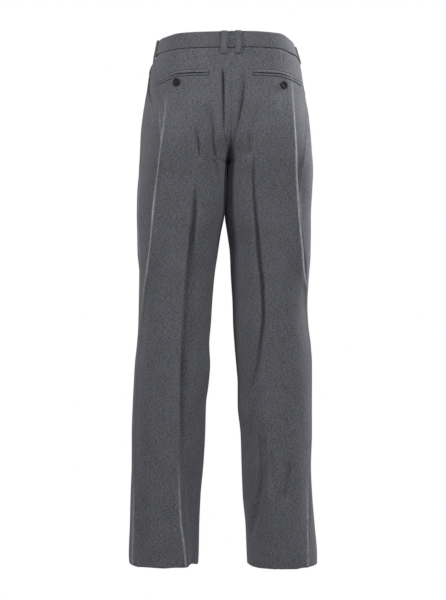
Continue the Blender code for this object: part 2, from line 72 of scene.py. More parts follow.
# Half widths from the middle plane; an inner value below 0 is cut off by a centre seam.
WIDTHS = {
    "columns": ("drop", "outer_left", "outer_right", "inner_left", "inner_right"),
    "rows": (
        (-15.5, 134, 133.5, -134, -133.5),
        (15, 140, 142.5, -140, -142.5),
        (46.5, 152, 150.5, -152, -150.5),
        (86.5, 158, 158, -150, -150),
        (126.5, 164.5, 163, -116, -116),
        (166.5, 169, 167, -64, -64),
        (190, 170, 168.5, -30, -30),
        (206.5, 170.5, 169.5, -12.5, -12.5),
        (216, 171, 170.5, -5.5, -5.5),
        (225, 171.5, 171.5, -1.4, -1.4),
        (232.5, 172, 172, 0.4, 0.4),
        (246.5, 172.5, 172.5, 0.6, 0.6),
        (286.5, 175.5, 171.2, 0.7, 0.6),
        (326.5, 176, 169.8, 2.6, 0.9),
        (366.5, 175, 170.4, 9.4, 5.6),
        (406.5, 174, 170.4, 15, 10.8),
        (446.5, 170.4, 168.2, 20.6, 12.8),
        (506.5, 171, 165.8, 25.4, 17),
        (546.5, 171.6, 168, 27.6, 18.4),
        (586.5, 174, 173.3, 30.6, 21.3),
        (626.5, 178, 176, 28.6, 25),
        (666.5, 180, 176.2, 31.4, 28.2),
        (706.5, 181.8, 176.2, 36.4, 28.4),
        (766.5, 183.4, 176.4, 37.8, 34.6),
        (826.5, 183.2, 174.6, 41, 36.8),
        (886.5, 185, 177.4, 46.2, 39.4),
        (946.5, 186.1, 182.5, 48.7, 45.3),
        (1006.5, 188, 187.6, 49.7, 48),
        (1021.5, 187, 187.6, 50.5, 49),
    ),
}

# Reach of the back and the front from the line of the sides, that line's own depth,
# and how square the inner and outer halves of the loop are.
DEPTHS = {
    "columns": ("drop", "back", "front", "middle", "square_in", "square_out"),
    "rows": (
        (-15.5, 107, 105, 0, 2.5, 2.5),
        (15, 108, 106, 0, 2.5, 2.5),
        (60, 112, 108, 0, 2.4, 2.4),
        (100, 117, 108, 0, 2.3, 2.4),
        (140, 121, 107, 0, 2.4, 2.55),
        (180, 121, 105, 0, 3, 2.7),
        (215, 116, 102, 0, 3.6, 2.75),
        (232.5, 112, 99, 0, 4, 2.75),
        (270, 102, 94, 0, 4, 2.75),
        (330, 93, 88, -1, 3.3, 2.7),
        (400, 86, 83, -3, 2.4, 2.6),
        (500, 80, 80, -6, 2.3, 2.4),
        (600, 77, 78, -6, 2.3, 2.3),
        (750, 75, 76, -4, 2.3, 2.3),
        (900, 73, 74, -1, 2.3, 2.3),
        (1021.5, 72, 73, 2, 2.3, 2.3),
    ),
}

# Where the pressed creases run, and how far they stand out.
CREASES = {
    "columns": ("drop", "back_left", "back_right", "front_left", "front_right",
                "back_ridge_left", "back_ridge_right", "front_ridge"),
    "rows": (
        (-15.5, 60, 60, 66, 66, 0, 0, 0),
        (15, 60, 60, 68, 68, 0, 0, 0),
        (120, 62, 56, 78, 76, 0, 0, 3),
        (200, 66, 50, 86, 82, 0, 0, 6),
        (250, 68, 49, 90, 85, 2, 1, 8),
        (290, 70, 50, 92, 87, 5, 2, 9),
        (355, 76, 58, 96, 90, 8, 3, 10),
        (420, 81.5, 65, 99, 93, 9, 3, 10),
        (530, 88, 72, 104, 98, 10, 3.5, 11),
        (620, 92.5, 71, 108, 102, 10, 4, 11),
        (700, 93.5, 74, 112, 107, 11, 6, 11),
        (800, 92.5, 82, 119, 113, 13.5, 8, 11),
        (890, 94.5, 90, 127, 119, 15, 9, 11),
        (950, 90.5, 95, 133, 124, 15, 10, 11),
        (1021.5, 83, 99.5, 140, 129, 14, 9, 10),
    ),
}
CREASE_REACH = 24.0
CREASE_ROUND = 0.6

# How far inside the outline the side seams run, seen from behind.
SIDE_SEAMS = {
    "columns": ("drop", "left", "right"),
    "rows": (
        (-15.5, 1.5, 1.5),
        (15, 3, 2),
        (64.5, 12, 4),
        (118.5, 27, 9),
        (160, 34, 14.5),
        (200, 37, 21),
        (240, 36, 30),
        (270, 34, 34),
        (330.5, 29, 29),
        (392.5, 24, 21),
        (458.5, 14, 11),
        (530.5, 6.5, 6.5),
        (600, 5, 5),
        (800, 5, 5),
        (886.5, 8, 8),
        (936.5, 11, 16),
        (1021.5, 15, 26),
    ),
}

# The waist pleat: deep under its lap at the band, running out into the front crease.
PLEAT = {
    "columns": ("drop", "height", "lap"),
    "rows": (
        (-20, 4, 4.5),
        (15, 4, 4.5),
        (60, 3.6, 2.5),
        (95, 3, 0.2),
        (130, 1.8, -1.6),
        (180, 0, -2),
        (1100, 0, -2),
    ),
}
PLEAT_APPROACH = 10.0
PLEAT_FOOT = 4.0
PLEAT_FACE = 9.0
PLEAT_TURN = 1.5
# How strongly a painted highlight lightens the front crease.
CREASE_SHARE = 0.18

# Where the cloth of a back panel turns sharply, and how far it is pinched up there.
SHARP = {
    "columns": ("drop", "line_left", "line_right", "pinch_left", "pinch_right"),
    "rows": (
        (-20, 60, 50, 0, 0),
        (120, 62, 48, 0, 0),
        (245, 68, 46.5, 0, 0),
        (291, 70, 50, 0.3, 0),
        (359, 76, 58, 0.5, 0.3),
        (424, 81.8, 65, 0.5, 0.3),
        (479, 85.2, 71, 0.5, 0.3),
        (529, 88, 73, 0.5, 0.3),
        (588, 91.2, 68, 0.5, 0.3),
        (633, 93, 62, 0.5, 0.3),
        (665, 93.2, 53, 0.5, 0.3),
        (700, 93.5, 46, 0.5, 0),
        (760, 92.8, 43, 0.8, 0),
        (800, 92.5, 50, 0.9, 0),
        (890, 92.5, 74, 1.1, 0),
        (950, 87.5, 92, 1.2, 0),
        (983, 83, 100, 1.2, 0),
        (1021.5, 77.5, 102.5, 1.2, 0),
    ),
}

# How high the back panels stand beside the side seams, where they roll down to them.
LEDGES = {
    "columns": ("drop", "left", "right"),
    "rows": (
        (-20, 0.6, 0.6),
        (70, 0.8, 0.8),
        (110, 2, 1.6),
        (150, 3.8, 2),
        (200, 4.6, 2.4),
        (300, 4.6, 4),
        (420, 4.6, 4.2),
        (480, 3.4, 3.4),
        (560, 1.2, 1.2),
        (840, 1.2, 1.2),
        (900, 3, 3),
        (960, 4, 3.6),
        (1030, 4, 3.6),
    ),
}

# Folds of the drape: side, face, width of the flank towards the middle and of the
# other, and the line as (drop, across, depth). A depth below 0 stands out.
FOLDS = (
    (LEFT, BACK, 2, 2.4, (
        (46, 16.3, 0), (58, 16, 3), (72, 15.4, 10), (90, 15.1, 13), (118, 14.8, 11), (150, 14, 5.5),
        (180, 12.5, 2.5), (200, 8, 1), (214, 4, 0),
    )),
    (RIGHT, BACK, 5, 3.4, (
        (50, 27, 0), (66, 25.5, 3), (95, 24, 6.5), (124, 20.5, 8), (145, 17, 7), (165, 13.5, 5.5),
        (186, 9, 3.5), (200, 5, 1.5), (212, 2, 0),
    )),
    (LEFT, BACK, 4, 8, (
        (118, 43, 0), (140, 41, 4), (156, 36.5, 6.5), (180, 33, 7.5), (201, 32, 7.5), (225, 28, 7),
        (262, 24, 4), (300, 20, 0),
    )),
    (LEFT, BACK, 2.8, 4, ((160, 68, 0), (180, 66, 4), (198, 62, 5.5), (214, 60.5, 5.5), (236, 57, 0))),
    (LEFT, BACK, 2, 3.2, (
        (218, 4, 0), (236, 2.8, 4), (256, 2.8, 9), (300, 3.2, 10), (326, 4, 4), (345, 6, 0),
    )),
    (LEFT, FRONT, 2.2, 3, ((222, 3, 0), (238, 2.8, -1.8), (300, 2.8, -1.8), (330, 4, 0))),
    (RIGHT, FRONT, 2.2, 3, ((222, 3, 0), (238, 2.8, 2.4), (300, 2.8, 2.4), (330, 4, 0))),
    (RIGHT, BACK, 2, 2.2, (
        (218, 4, 0), (236, 2.8, 4), (254, 2.5, 9), (290, 2.5, 9), (315, 4, 3), (335, 6, 0),
    )),
    (LEFT, BACK, 9, 1.2, (
        (284, 69, 0), (300, 70, 5), (326, 72.3, 10), (359, 75.2, 12), (396, 78.6, 13), (454, 83, 13),
        (530, 87.3, 13), (589, 90.5, 12), (627, 92, 14), (660, 92.4, 14), (720, 92.6, 14),
        (770, 92.3, 13), (830, 92.3, 9), (870, 92.3, 4), (905, 92, 0),
    )),
    (LEFT, BACK, 10, 9, (
        (380, 66, 0), (440, 68, 4), (530, 72, 5), (650, 76, 4.5), (760, 76, 4), (860, 74, 4),
        (960, 68, 0),
    )),
    (LEFT, BACK, 2.2, 9, (
        (765, 95, 0), (796, 95.5, 2), (825, 95, 3), (860, 96.5, 3), (924, 93.5, 3), (953, 88.5, 2),
        (983, 84.5, 0),
    )),
    (LEFT, BACK, 9, 15, ((700, 60, 0), (760, 62, 4), (850, 66, 7.5), (950, 64, 9.5), (1060, 60, 9.5))),
    (LEFT, BACK, 1.3, 1.3, ((815, 108, 0), (850, 108.5, 1.3), (960, 108.5, 1.4), (1060, 108, 1.3))),
    (LEFT, BACK, 2.5, 2.5, ((80, 132.5, 0), (100, 132, 1.5), (160, 132, 1.5), (200, 134, 0))),
    (LEFT, BACK, 6, 6, ((235, 110, 0), (260, 110, 1.5), (310, 109, 1.5), (345, 108, 0))),
    (LEFT, BACK, 10, 10, ((560, 40, 0), (590, 38, -4), (629, 37, -4), (670, 38, 0))),
    (RIGHT, BACK, 8, 8, ((118, 58, 0), (150, 50, 3), (180, 45, 4), (205, 40, 3.5), (240, 36, 0))),
    (RIGHT, BACK, 3, 3, ((180, 34, 0), (190, 34, 3), (214, 35, 3), (224, 35, 0))),
    (RIGHT, BACK, 7.5, 1, (
        (218, 46, 0), (245, 46.5, 4), (291, 50, 6.5), (359, 58, 9), (424, 65, 10.5), (479, 71, 10.5),
        (529, 73, 9.5), (588, 68, 8), (633, 62, 6.5), (665, 53, 5), (700, 46, 3), (740, 42, 0),
    )),
    (RIGHT, BACK, 7, 8, ((690, 56, 0), (715, 52, 3.5), (743, 48, 6), (788, 45, 4.5), (830, 44, 0))),
    (RIGHT, BACK, 6, 8, (
        (765, 70, 0), (783, 70, 6), (840, 71, 9), (901, 62, 9), (947, 52, 7), (975, 46, 0),
    )),
    (RIGHT, BACK, 5, 5, ((812, 124, 0), (832, 123, 5), (869, 117, 5), (892, 113, 0))),
    (RIGHT, BACK, 5, 5, ((790, 88, 0), (812, 88, 5), (855, 88, 5), (882, 87, 0))),
    (RIGHT, BACK, 3, 3, ((582, 79, 0), (597, 79, 1.6), (650, 80, 1.6), (672, 80, 0))),
    (RIGHT, BACK, 3.5, 3, ((955, 98, 0), (983, 100, 2.5), (1016, 102, 3.5), (1060, 103, 3.5))),
    (RIGHT, BACK, 12, 2.6, (
        (58, 119, 0), (92, 119.5, -2.5), (124, 120.3, -3.5), (184, 123, -4.5), (228, 125.8, -5),
        (284, 130.4, -4.5), (324, 135.2, -4), (364, 138.8, -3.5), (400, 144, -3), (440, 148.8, -2),
        (475, 157, 0),
    )),
    (LEFT, FRONT, 10, 10, (
        (235, 40, 0), (270, 46, 4), (300, 52, 4), (370, 64, 4), (400, 68, 3), (430, 70, 0),
    )),
    (RIGHT, FRONT, 10, 10, ((240, 36, 0), (270, 43, 3.5), (310, 50, 3.5), (380, 60, 3.5), (440, 64, 0))),
    (LEFT, FRONT, 11, 11, (
        (520, 132, 0), (555, 129, 4), (590, 126, 4), (660, 130, 4), (700, 136, 3), (730, 140, 0),
    )),
    (RIGHT, FRONT, 11, 11, (
        (540, 60, 0), (570, 63, 4), (600, 66, 4), (680, 62, 4), (712, 58, 3), (740, 54, 0),
    )),
    (RIGHT, FRONT, 11, 11, (
        (800, 150, 0), (830, 148, 3.5), (880, 146, 3.5), (960, 150, 3.5), (1060, 154, 3),
    )),
)

# Painted highlights where light catches the cloth along its seams, creases and outlines:
# side, panel, half width, and the line as (drop, across, share). The left side seam's
# line is given for both of its panels.
SEAM_LINE_LEFT = (
    (84, 121, 0), (110, 123, 0.15), (136, 125.3, 0.25), (176, 129.5, 0.4), (212, 134.2, 0.6),
    (252, 138.6, 0.8), (288, 142.2, 0.9), (328, 145.5, 0.95), (364, 148.8, 1), (404, 152.4, 0.95),
    (440, 157.2, 0.85), (480, 162.7, 0.7), (520, 166, 0.35), (560, 168, 0),
)
SEAM_LINE_RIGHT = (
    (60, 120, 0), (92, 120.8, 0.25), (124, 121.4, 0.45), (184, 123.4, 0.8), (228, 125.4, 1),
    (284, 129.8, 1), (324, 133.8, 1), (364, 138.6, 1), (400, 143.4, 0.95), (440, 149, 0.85),
    (480, 158.5, 0.6), (520, 165, 0),
)
EDGES = (
    (LEFT, BACK, 1.7, SEAM_LINE_LEFT),
    (LEFT, FRONT, 1.7, SEAM_LINE_LEFT),
    (RIGHT, BACK, 1.35, SEAM_LINE_RIGHT),
    (LEFT, BACK, 1.6, (
        (800, 95, 0), (832, 95.1, 0.12), (868, 95, 0.3), (928, 93, 0.45), (968, 88.6, 0.6),
        (996, 86, 0.6), (1060, 79, 0.5),
    )),
    (RIGHT, BACK, 1.6, ((850, 161, 0), (892, 161.4, 0.25), (948, 160, 0.5), (1060, 160, 0.5))),
    (LEFT, FRONT, 4, (
        (236, 170, 0), (262, 172, 0.35), (320, 174.5, 0.5), (372, 173.5, 0.5), (430, 170, 0.4),
        (480, 169.5, 0.2), (520, 169.5, 0),
    )),
    (LEFT, FRONT, 4, ((860, 178, 0), (900, 180, 0.4), (1060, 182, 0.5))),
    (RIGHT, FRONT, 2.5, (
        (150, 157, 0), (176, 160, 0.2), (216, 163.5, 0.25), (284, 166, 0.2), (330, 165, 0.25),
        (400, 163.5, 0.25), (440, 162, 0.15), (470, 162, 0),
    )),
)
# Name of the point attribute that carries the painted highlight along seams, creases and outlines.
PAINTED_HIGHLIGHT = "pressed"

# Rows down a panel: tucked under the band, close together across the back pocket,
# then down to the hem, which is folded and turned up inside as (drop, lift).
PANEL_STEP = 4.3
BAND_FOOT, DITCH_DEPTH = 15.6, 1.3
BAND_DITCH = (12.0, 13.8, 14.8, 15.5, 16.3, 17.4, 19.0, 22.0)
POCKET_ROWS = (53.6, 75.6, 0.7)
HEM_TURN = (
    (1018.0, 0.0), (1020.0, 0.0), (1021.0, -0.15), (1021.5, -0.7), (1021.6, -1.4), (1021.3, -2.1),
    (1020.0, -2.5), (1014.0, -2.7), (1004.0, -2.7), (994.0, -2.6), (986.0, -2.5), (984.5, -2.3),
)
# How far, in metres, the edges of two panels reach past each other at a centre seam.
SEAM_CROSSING = 0.0004
# Widths of the flank and the ditch of a side seam, of the roll down to it, and of the
# ditch, the ridge and the ridge's distance at the centre seam.
SEAM_FLANK, SEAM_DITCH, LEDGE_WIDTH = 1.9, 0.4, 6.0
CENTRE_DITCH, CENTRE_RIDGE, CENTRE_AWAY = 0.8, 1.3, 2.4
# Distances from a seam, and from a sharp turn, at which a panel has columns of its own,
# and how many columns fill the rest.
SEAM_STOPS = (0.02, 0.25, 0.6, 1.1, 1.8, 2.6, 3.6, 5.0)
SHARP_STOPS = (0.6, 1.2, 2.0, 3.0, 4.4)
BACK_COLUMNS = (34, 60)
FRONT_COLUMNS = (44, 26)
PLEAT_COLUMNS = (5, 3, 5, 4)

# How far the waist rises at the back, and more so to the right, and how far it sinks at
# the sides. The hems rise to the left and sink to the right, and the middle of the left
# hem and the outer corner of the right one rise by more.
WAIST_RISE, WAIST_TILT = 2.2, 1.9
CORNER_SINK = {LEFT: 2.8, RIGHT: 7.6}
HEM_RISE, HEM_TILT = 0.4, 2.0
HEM_ARCH, HEM_CORNER = 2.6, 2.2
HEM_PHASE = {LEFT: 0.7, RIGHT: 2.1}

# The dart's line below the band, how it slants outwards, and the drop where it ends.
DART_LINE = 100.0
DART_SLANT = 0.04
DART_FOOT = 60.0

# How far each half of the band reaches past the centre front, where and how far the
# outer one rises over the other, its columns, and the middle of its thickness.
BAND_LAP = {LEFT: 32.0, RIGHT: 16.0}
BAND_FRONT_ZONE = 42.0
BAND_LAP_LIFT = 3.2
BAND_END_STOPS = (0.02, 0.3, 0.7, 1.3, 2.1, 3.2)
BAND_COLUMNS = 150
BAND_CORE = -0.4
BAND_WAVE = 0.25
BAND_PHASE = {LEFT: 0.0, RIGHT: 1.9}
BAND_END_ROUND = 1.6
BAND_END_GAP = 0.04
MID_FRONT = 1.5 * math.pi
# Round a folded band from its outer foot, over the top and down inside: (drop, lift).
BAND_ROUND = (
    (14.9, -0.7), (15.0, 0.0), (14.6, 0.55), (13.2, 0.8), (9.0, 0.95), (3.0, 1.0), (-3.0, 1.0),
    (-9.0, 0.95), (-13.0, 0.85), (-14.8, 0.6), (-15.5, 0.1), (-15.8, -0.6), (-15.5, -1.3),
    (-14.6, -1.7), (-12.0, -1.8), (-6.0, -1.8), (0.0, -1.8), (6.0, -1.8), (12.0, -1.8),
    (14.4, -1.7), (15.0, -1.4),
)

LOOPS = (
    {"name": "belt_loop_back_left", "side": LEFT, "face": BACK, "x": 13.5, "stand": 0.0},
    {"name": "belt_loop_back_right", "side": RIGHT, "face": BACK, "x": 13.5, "stand": 0.0},
    {"name": "belt_loop_side_left", "side": LEFT, "face": BACK, "x": 136.6, "stand": 1.6},
    {"name": "belt_loop_side_right", "side": RIGHT, "face": FRONT, "x": 138.2, "stand": 3.6},
    {"name": "belt_loop_front_left", "side": LEFT, "face": FRONT, "x": 84.0, "stand": 0.8},
    {"name": "belt_loop_front_right", "side": RIGHT, "face": FRONT, "x": 84.0, "stand": 0.8},
)
# Along a belt loop, from the end tucked under its top fold to the end sewn below the
# band: (drop, lift).
LOOP_PATH = (
    (-9.0, 1.3), (-12.0, 1.3), (-14.6, 1.4), (-15.8, 1.7), (-16.3, 2.1), (-16.5, 2.6), (-16.3, 3.1),
    (-15.7, 3.5), (-14.2, 3.8), (-11.0, 3.9), (-6.0, 3.9), (0.0, 3.9), (6.0, 3.9), (12.0, 3.8),
    (16.0, 3.6), (18.6, 3.3), (20.4, 3.0), (21.8, 2.7), (23.2, 2.4), (24.8, 2.2), (26.4, 2.1),
    (27.6, 2.1),
)
# How far the cloth dips beside a loop, and the loop's own columns, wall and soft edge.
LOOP_GROOVE = 2.3
LOOP_REACH = 0.9
LOOP_COLUMNS = 20
LOOP_WALL = 0.0013
LOOP_BEVEL = 0.0003
# Two rows of tacking stitches across a loop's foot: (drop, lift).
LOOP_TACKS = ((24.6, 2.45), (25.2, 2.4))

WELTS = {
    LEFT: {"inner": 42.5, "outer": 140.0, "slit": 64.0},
    RIGHT: {"inner": 42.5, "outer": 143.0, "slit": 65.5},
}
# How far a back pocket's mouth runs below its inner end, towards the hip.
WELT_FALLS = {
    "columns": ("across", "left", "right"),
    "rows": (
        (40, 0, 0),
        (90, 0, -0.8),
        (102, 1, 0),
        (112, 3.8, 2),
        (127, 9, 5.2),
        (140, 14.5, 9),
        (145, 16.5, 10.4),
    ),
}
# Across a welt, from its sewn edge over the face and into the pocket: (from slit, lift).
WELT_ROUND = (
    (5.5, -0.5), (5.2, 0.3), (4.5, 0.8), (3.4, 1.05), (2.2, 1.15), (1.2, 1.1), (0.5, 0.8), (0.1, 0.1),
    (0.0, -0.9), (0.15, -2.2), (0.5, -3.4),
)
# How far a pocket's mouth hangs open, the cut behind it, and the columns of a welt.
WELT_GAPE = 0.9
SLOT_DEPTH, SLOT_HALF = 6.0, 1.9
SLOT_REACH = 14.0
WELT_EDGE = 5.9
WELT_END_STOPS = (0.0, 0.4, 0.9, 1.6, 2.6, 4.0)
WELT_COLUMNS = 60

BUTTONS = (
    {"side": LEFT, "x": 103.5, "drop": 80.0},
    {"side": RIGHT, "x": 103.5, "drop": 86.0},
)
# From the middle of a button's face, over its rim to the middle of its back, as shares
# of its half width and of its height.
BUTTON_PROFILE = (
    (0.0, 0.58), (0.30, 0.58), (0.50, 0.62), (0.60, 0.78), (0.68, 0.95), (0.78, 1.0), (0.90, 0.96),
    (0.97, 0.82), (1.0, 0.6), (0.985, 0.42), (0.93, 0.26), (0.78, 0.12), (0.4, 0.02), (0.0, 0.0),
)
# The button's height, how far it lies off the cloth, its dish, and where its holes are shown by dark
# thread plugs that paint their shade.
BUTTON_TALL = 0.003
BUTTON_LIFT = 0.8
BUTTON_STEPS = 56
BUTTON_DISH = 0.59
BUTTON_TURN = 38.0
HOLE_SPREAD = 0.0015
HOLE_WIDE = 0.0006
HOLE_ANGLES = (45, 135, 225, 315)

# The fly's reach down and across, past the middle and at its foot, and its stitches.
FLY_LENGTH = 165.0
FLY_WIDTH = 36.0
FLY_LAP = 3.0
FLY_FOOT = 6.0
FLY_LIFT = 1.75
FLY_STRAIGHT = 0.62
FLY_INSIDE = 3.2
FLY_COLUMNS, FLY_ROWS = 34, 64
FLY_MARKS = 400
FLY_STITCH = 0.0026
PANEL_TOP = 15.2

# The slanted pocket mouths: where they start and end beside the side seam, their width
# and rows, how far they stand open, their lift, and their topstitching.
POCKET_TOP_FROM_SEAM = {LEFT: 46.0, RIGHT: 66.0}
POCKET_FOOT_FROM_SEAM = 5.0
POCKET_FOOT = 168.0
POCKET_EDGE_WIDTH = 11.0
POCKET_EDGE_ROWS = 60
POCKET_EDGE_STOPS = (0.0, 0.06, 0.14, 0.26, 0.4, 0.55, 0.7, 0.85, 0.95, 1.0)
POCKET_STAND = {LEFT: 2.0, RIGHT: 1.2}
POCKET_LIFT, POCKET_SINK = 1.3, 1.05
TOPSTITCH = 4.5

# How light each cloth and thread is beside the main one.
FLANNELS = {"flannel": 1.0, "band_flannel": 0.99, "trim_flannel": 1.08}
# The thread at a button's holes is darkened to paint the shade inside the holes.
THREADS = {"thread": 1.0, "hole_thread": 0.25}
# Two soft clouds of colour over the cloth, each from one colour to another, the pale
# colour of its painted highlights, and the colour of its nap seen from the side.
CASTS = ((1.09, 0.975, 1.0, 1.0), (0.93, 1.02, 1.06, 1.0))
TINTS = ((0.985, 1.02, 0.975, 1.0), (1.015, 0.985, 1.02, 1.0))
HIGHLIGHT_COLOUR = (0.40, 0.41, 0.45, 1.0)
NAP_COLOUR = (0.55, 0.57, 0.62, 1.0)
# Output numbers: a texture place on the object, and the colour or strength of a mix.
OBJECT_OUT, MIX_OUT, FACTOR_OUT = 3, 2, 2

# How thick stitches and threads are, and the thread loop round a button's shank.
STITCH = 0.0004
LOOP_TACK = 0.00042
# Thickness of the dark thread plugs that paint the shade in a button's holes.
HOLE_THREAD_SHADE = 0.0011
BUTTON_THREAD = 0.0003
SHANK_LOOP = 0.0007
SHANK_HALF, SHANK_MARKS = 5.2, 25

# Soft boxes round the garment: name, bearing in degrees from straight behind towards the
# left, distance and height of the box, its width and height, height aimed at, watts.
LIGHTS = (
    ("key_light", 58.0, 2.0, 0.5, 0.45, 0.8, -0.35, 24.0),
    ("near_light", 28.0, 2.3, 0.4, 0.6, 0.8, -0.35, 2.5),
    ("high_light", 2.0, 2.3, 1.5, 0.9, 0.7, -0.2, 26.5),
    ("right_light", -50.0, 2.1, 0.5, 0.5, 0.8, -0.35, 23.5),
    ("left_rim", 128.0, 2.0, 0.2, 0.5, 1.4, -0.35, 11.0),
    ("right_rim", -122.0, 2.0, 0.4, 0.5, 1.4, -0.35, 13.0),
    ("hip_light", -104.0, 1.8, 0.9, 0.4, 0.4, -0.1, 45.0),
)
# The camera's bearing from the front and its roll, in degrees, how far it aims to one
# side, in metres, and its lens, in millimetres.
CAMERA = {"azimuth": 175.0, "roll": 0.353, "aim_shift": 0.0034, "sensor": 24.0, "lens": 56.15}
FLOOR = {"radius": 0.94, "height": -1.32, "segments": 96, "colour": (0.42, 0.42, 0.42, 1.0)}
WHITE = (1.0, 1.0, 1.0, 1.0)


class ClothSettings(bpy.types.PropertyGroup):
    """Sizes and colours of the cloth."""

    wall: FloatProperty(name="Cloth thickness", description="Thickness of one layer of flannel",
                        default=0.0011, unit="LENGTH", precision=4)
    layer: FloatProperty(name="Folded layer", description="Thickness of a layer in a folded band or welt",
                         default=0.0006, unit="LENGTH", precision=4)
    dark_yarn: FloatVectorProperty(name="Dark yarn", description="Darkest fibres of the flannel",
                                   default=(0.026, 0.027, 0.030, 1.0), size=4, subtype="COLOR")
    light_yarn: FloatVectorProperty(name="Light yarn", description="Lightest fibres of the flannel",
                                    default=(0.170, 0.174, 0.192, 1.0), size=4, subtype="COLOR")
    weave: FloatProperty(name="Twill pitch", description="Distance between two twill lines",
                         default=0.0013, unit="LENGTH", precision=4)
    rumple: FloatProperty(name="Rumple", description="Height of the small uneven folds",
                          default=0.0006, unit="LENGTH", precision=4)


class TrimSettings(bpy.types.PropertyGroup):
    """Sizes and colours of the loops, buttons and thread."""

    loop_width: FloatProperty(name="Belt loop width", description="Width of a finished belt loop",
                              default=0.0118, unit="LENGTH", precision=4)
    button_width: FloatProperty(name="Button width", description="Diameter of a back pocket button",
                                default=0.015, unit="LENGTH", precision=4)
    button_colour: FloatVectorProperty(name="Button colour", description="Colour of the polished buttons",
                                       default=(0.010, 0.010, 0.011, 1.0), size=4, subtype="COLOR")
    thread_colour: FloatVectorProperty(name="Thread colour", description="Colour of the sewing thread",
                                       default=(0.022, 0.022, 0.025, 1.0), size=4, subtype="COLOR")
    rumple_seed: IntProperty(
        name="Rumple seed",
        description="Which set of small folds is drawn",
        default=11,
    )


class StageSettings(bpy.types.PropertyGroup):
    """The light and the camera."""

    brightness: FloatProperty(name="Brightness", description="Multiplies the power of every light",
                              default=1.0, min=0.0)
    haze: FloatProperty(name="Haze", description="Strength of the even light from all round",
                        default=0.066, min=0.0)
    distance: FloatProperty(name="Camera distance", description="From the waist's upright axis",
                            default=2.8, unit="LENGTH")
    height: FloatProperty(name="Camera height", description="Height of the camera and what it aims at",
                          default=-0.4985, unit="LENGTH")


def settings(name):
    return getattr(bpy.context.scene, "trouser_" + name)


def monotone(drops, values, drop):
    """A value on a smooth curve through a table, which never overshoots it."""
    steps = np.diff(drops)
    slopes = np.diff(values) / steps
    tangents = np.zeros(len(values))
    for i in range(1, len(values) - 1):
        if slopes[i - 1] * slopes[i] > 0.0:
            before = 2.0 * steps[i] + steps[i - 1]
            after = steps[i] + 2.0 * steps[i - 1]
            tangents[i] = (before + after) / (before / slopes[i - 1] + after / slopes[i])
    tangents[0] = slopes[0]
    tangents[-1] = slopes[-1]
    drop = float(np.clip(drop, drops[0], drops[-1]))
    i = int(np.clip(np.searchsorted(drops, drop) - 1, 0, len(steps) - 1))
    t = (drop - drops[i]) / steps[i]
    start = (1 + 2 * t) * (1 - t) ** 2 * values[i] + t * (1 - t) ** 2 * steps[i] * tangents[i]
    end = t * t * (3 - 2 * t) * values[i + 1] + t * t * (t - 1) * steps[i] * tangents[i + 1]
    return float(start + end)


def read(table, column, drop):
    rows = np.array(table["rows"], dtype=float)
    return monotone(rows[:, 0], rows[:, table["columns"].index(column)], drop)


def smooth(value, first, last):
    """0 at the first value, 1 at the last, with a soft start and end."""
    t = np.clip((value - first) / (last - first), 0.0, 1.0)
    return t * t * (3.0 - 2.0 * t)


def window(value, rise, full, fall, last):
    """1 between full and fall, and 0 before rise and after last."""
    return smooth(value, rise, full) * (1.0 - smooth(value, fall, last))


def bell(away, width):
    """1 at zero, falling softly on both sides."""
    return np.exp(-((away / width) ** 2))


def spans(path, drop):
    return path[0][0] < drop < path[-1][0]


def path_at(path, drop):
    """Where a line of (drop, across, amount) runs at a drop, and its amount there."""
    drops, lines, amounts = np.array(path, dtype=float).T
    return monotone(drops, lines, drop), monotone(drops, amounts, drop)


@functools.lru_cache(maxsize=None)
def scatter_rumples(seed, count=150):
    """Small soft folds, mostly upright: drop, across, half length, half width, slant, height."""
    chance = np.random.default_rng(seed)
    return np.stack((
        chance.uniform(40.0, 1040.0, count),
        chance.uniform(0.0, 180.0, count),
        chance.uniform(22.0, 75.0, count),
        chance.uniform(4.5, 11.0, count),
        chance.uniform(-0.22, 0.22, count),
        chance.uniform(-1.0, 1.0, count),
    ))


def level(x, y, drop):
    """How far the waist and the hems rise or sink out of level, in millimetres."""
    waist = (WAIST_RISE - WAIST_TILT * np.tanh(x / 45.0)) * smooth(y, 10.0, 75.0)
    waist = waist * (1.0 - smooth(drop, 30.0, 300.0))
    corner = CORNER_SINK[LEFT] * smooth(x, 98.0, 126.0) + CORNER_SINK[RIGHT] * smooth(-x, 98.0, 126.0)
    hem = HEM_TILT * np.tanh(x / 20.0) + HEM_RISE + HEM_ARCH * window(x, 50.0, 66.0, 96.0, 124.0)
    hem = hem + HEM_CORNER * smooth(-x, 134.0, 152.0)
    return waist - corner * (1.0 - smooth(drop, -10.0, 70.0)) + hem * smooth(drop, 600.0, 1000.0)


def pocket_fall(side, drop, across):
    """How far the cloth's rows are let down, so that they follow the back pocket's mouth."""
    away = drop - WELTS[side]["slit"]
    near = 1.0 - (smooth(-away, 9.0, 34.0) if away < 0.0 else smooth(away, 9.0, 75.0))
    if near <= 0.0:
        return np.zeros_like(across)
    return near * np.array([read(WELT_FALLS, side, one) for one in np.atleast_1d(across)])


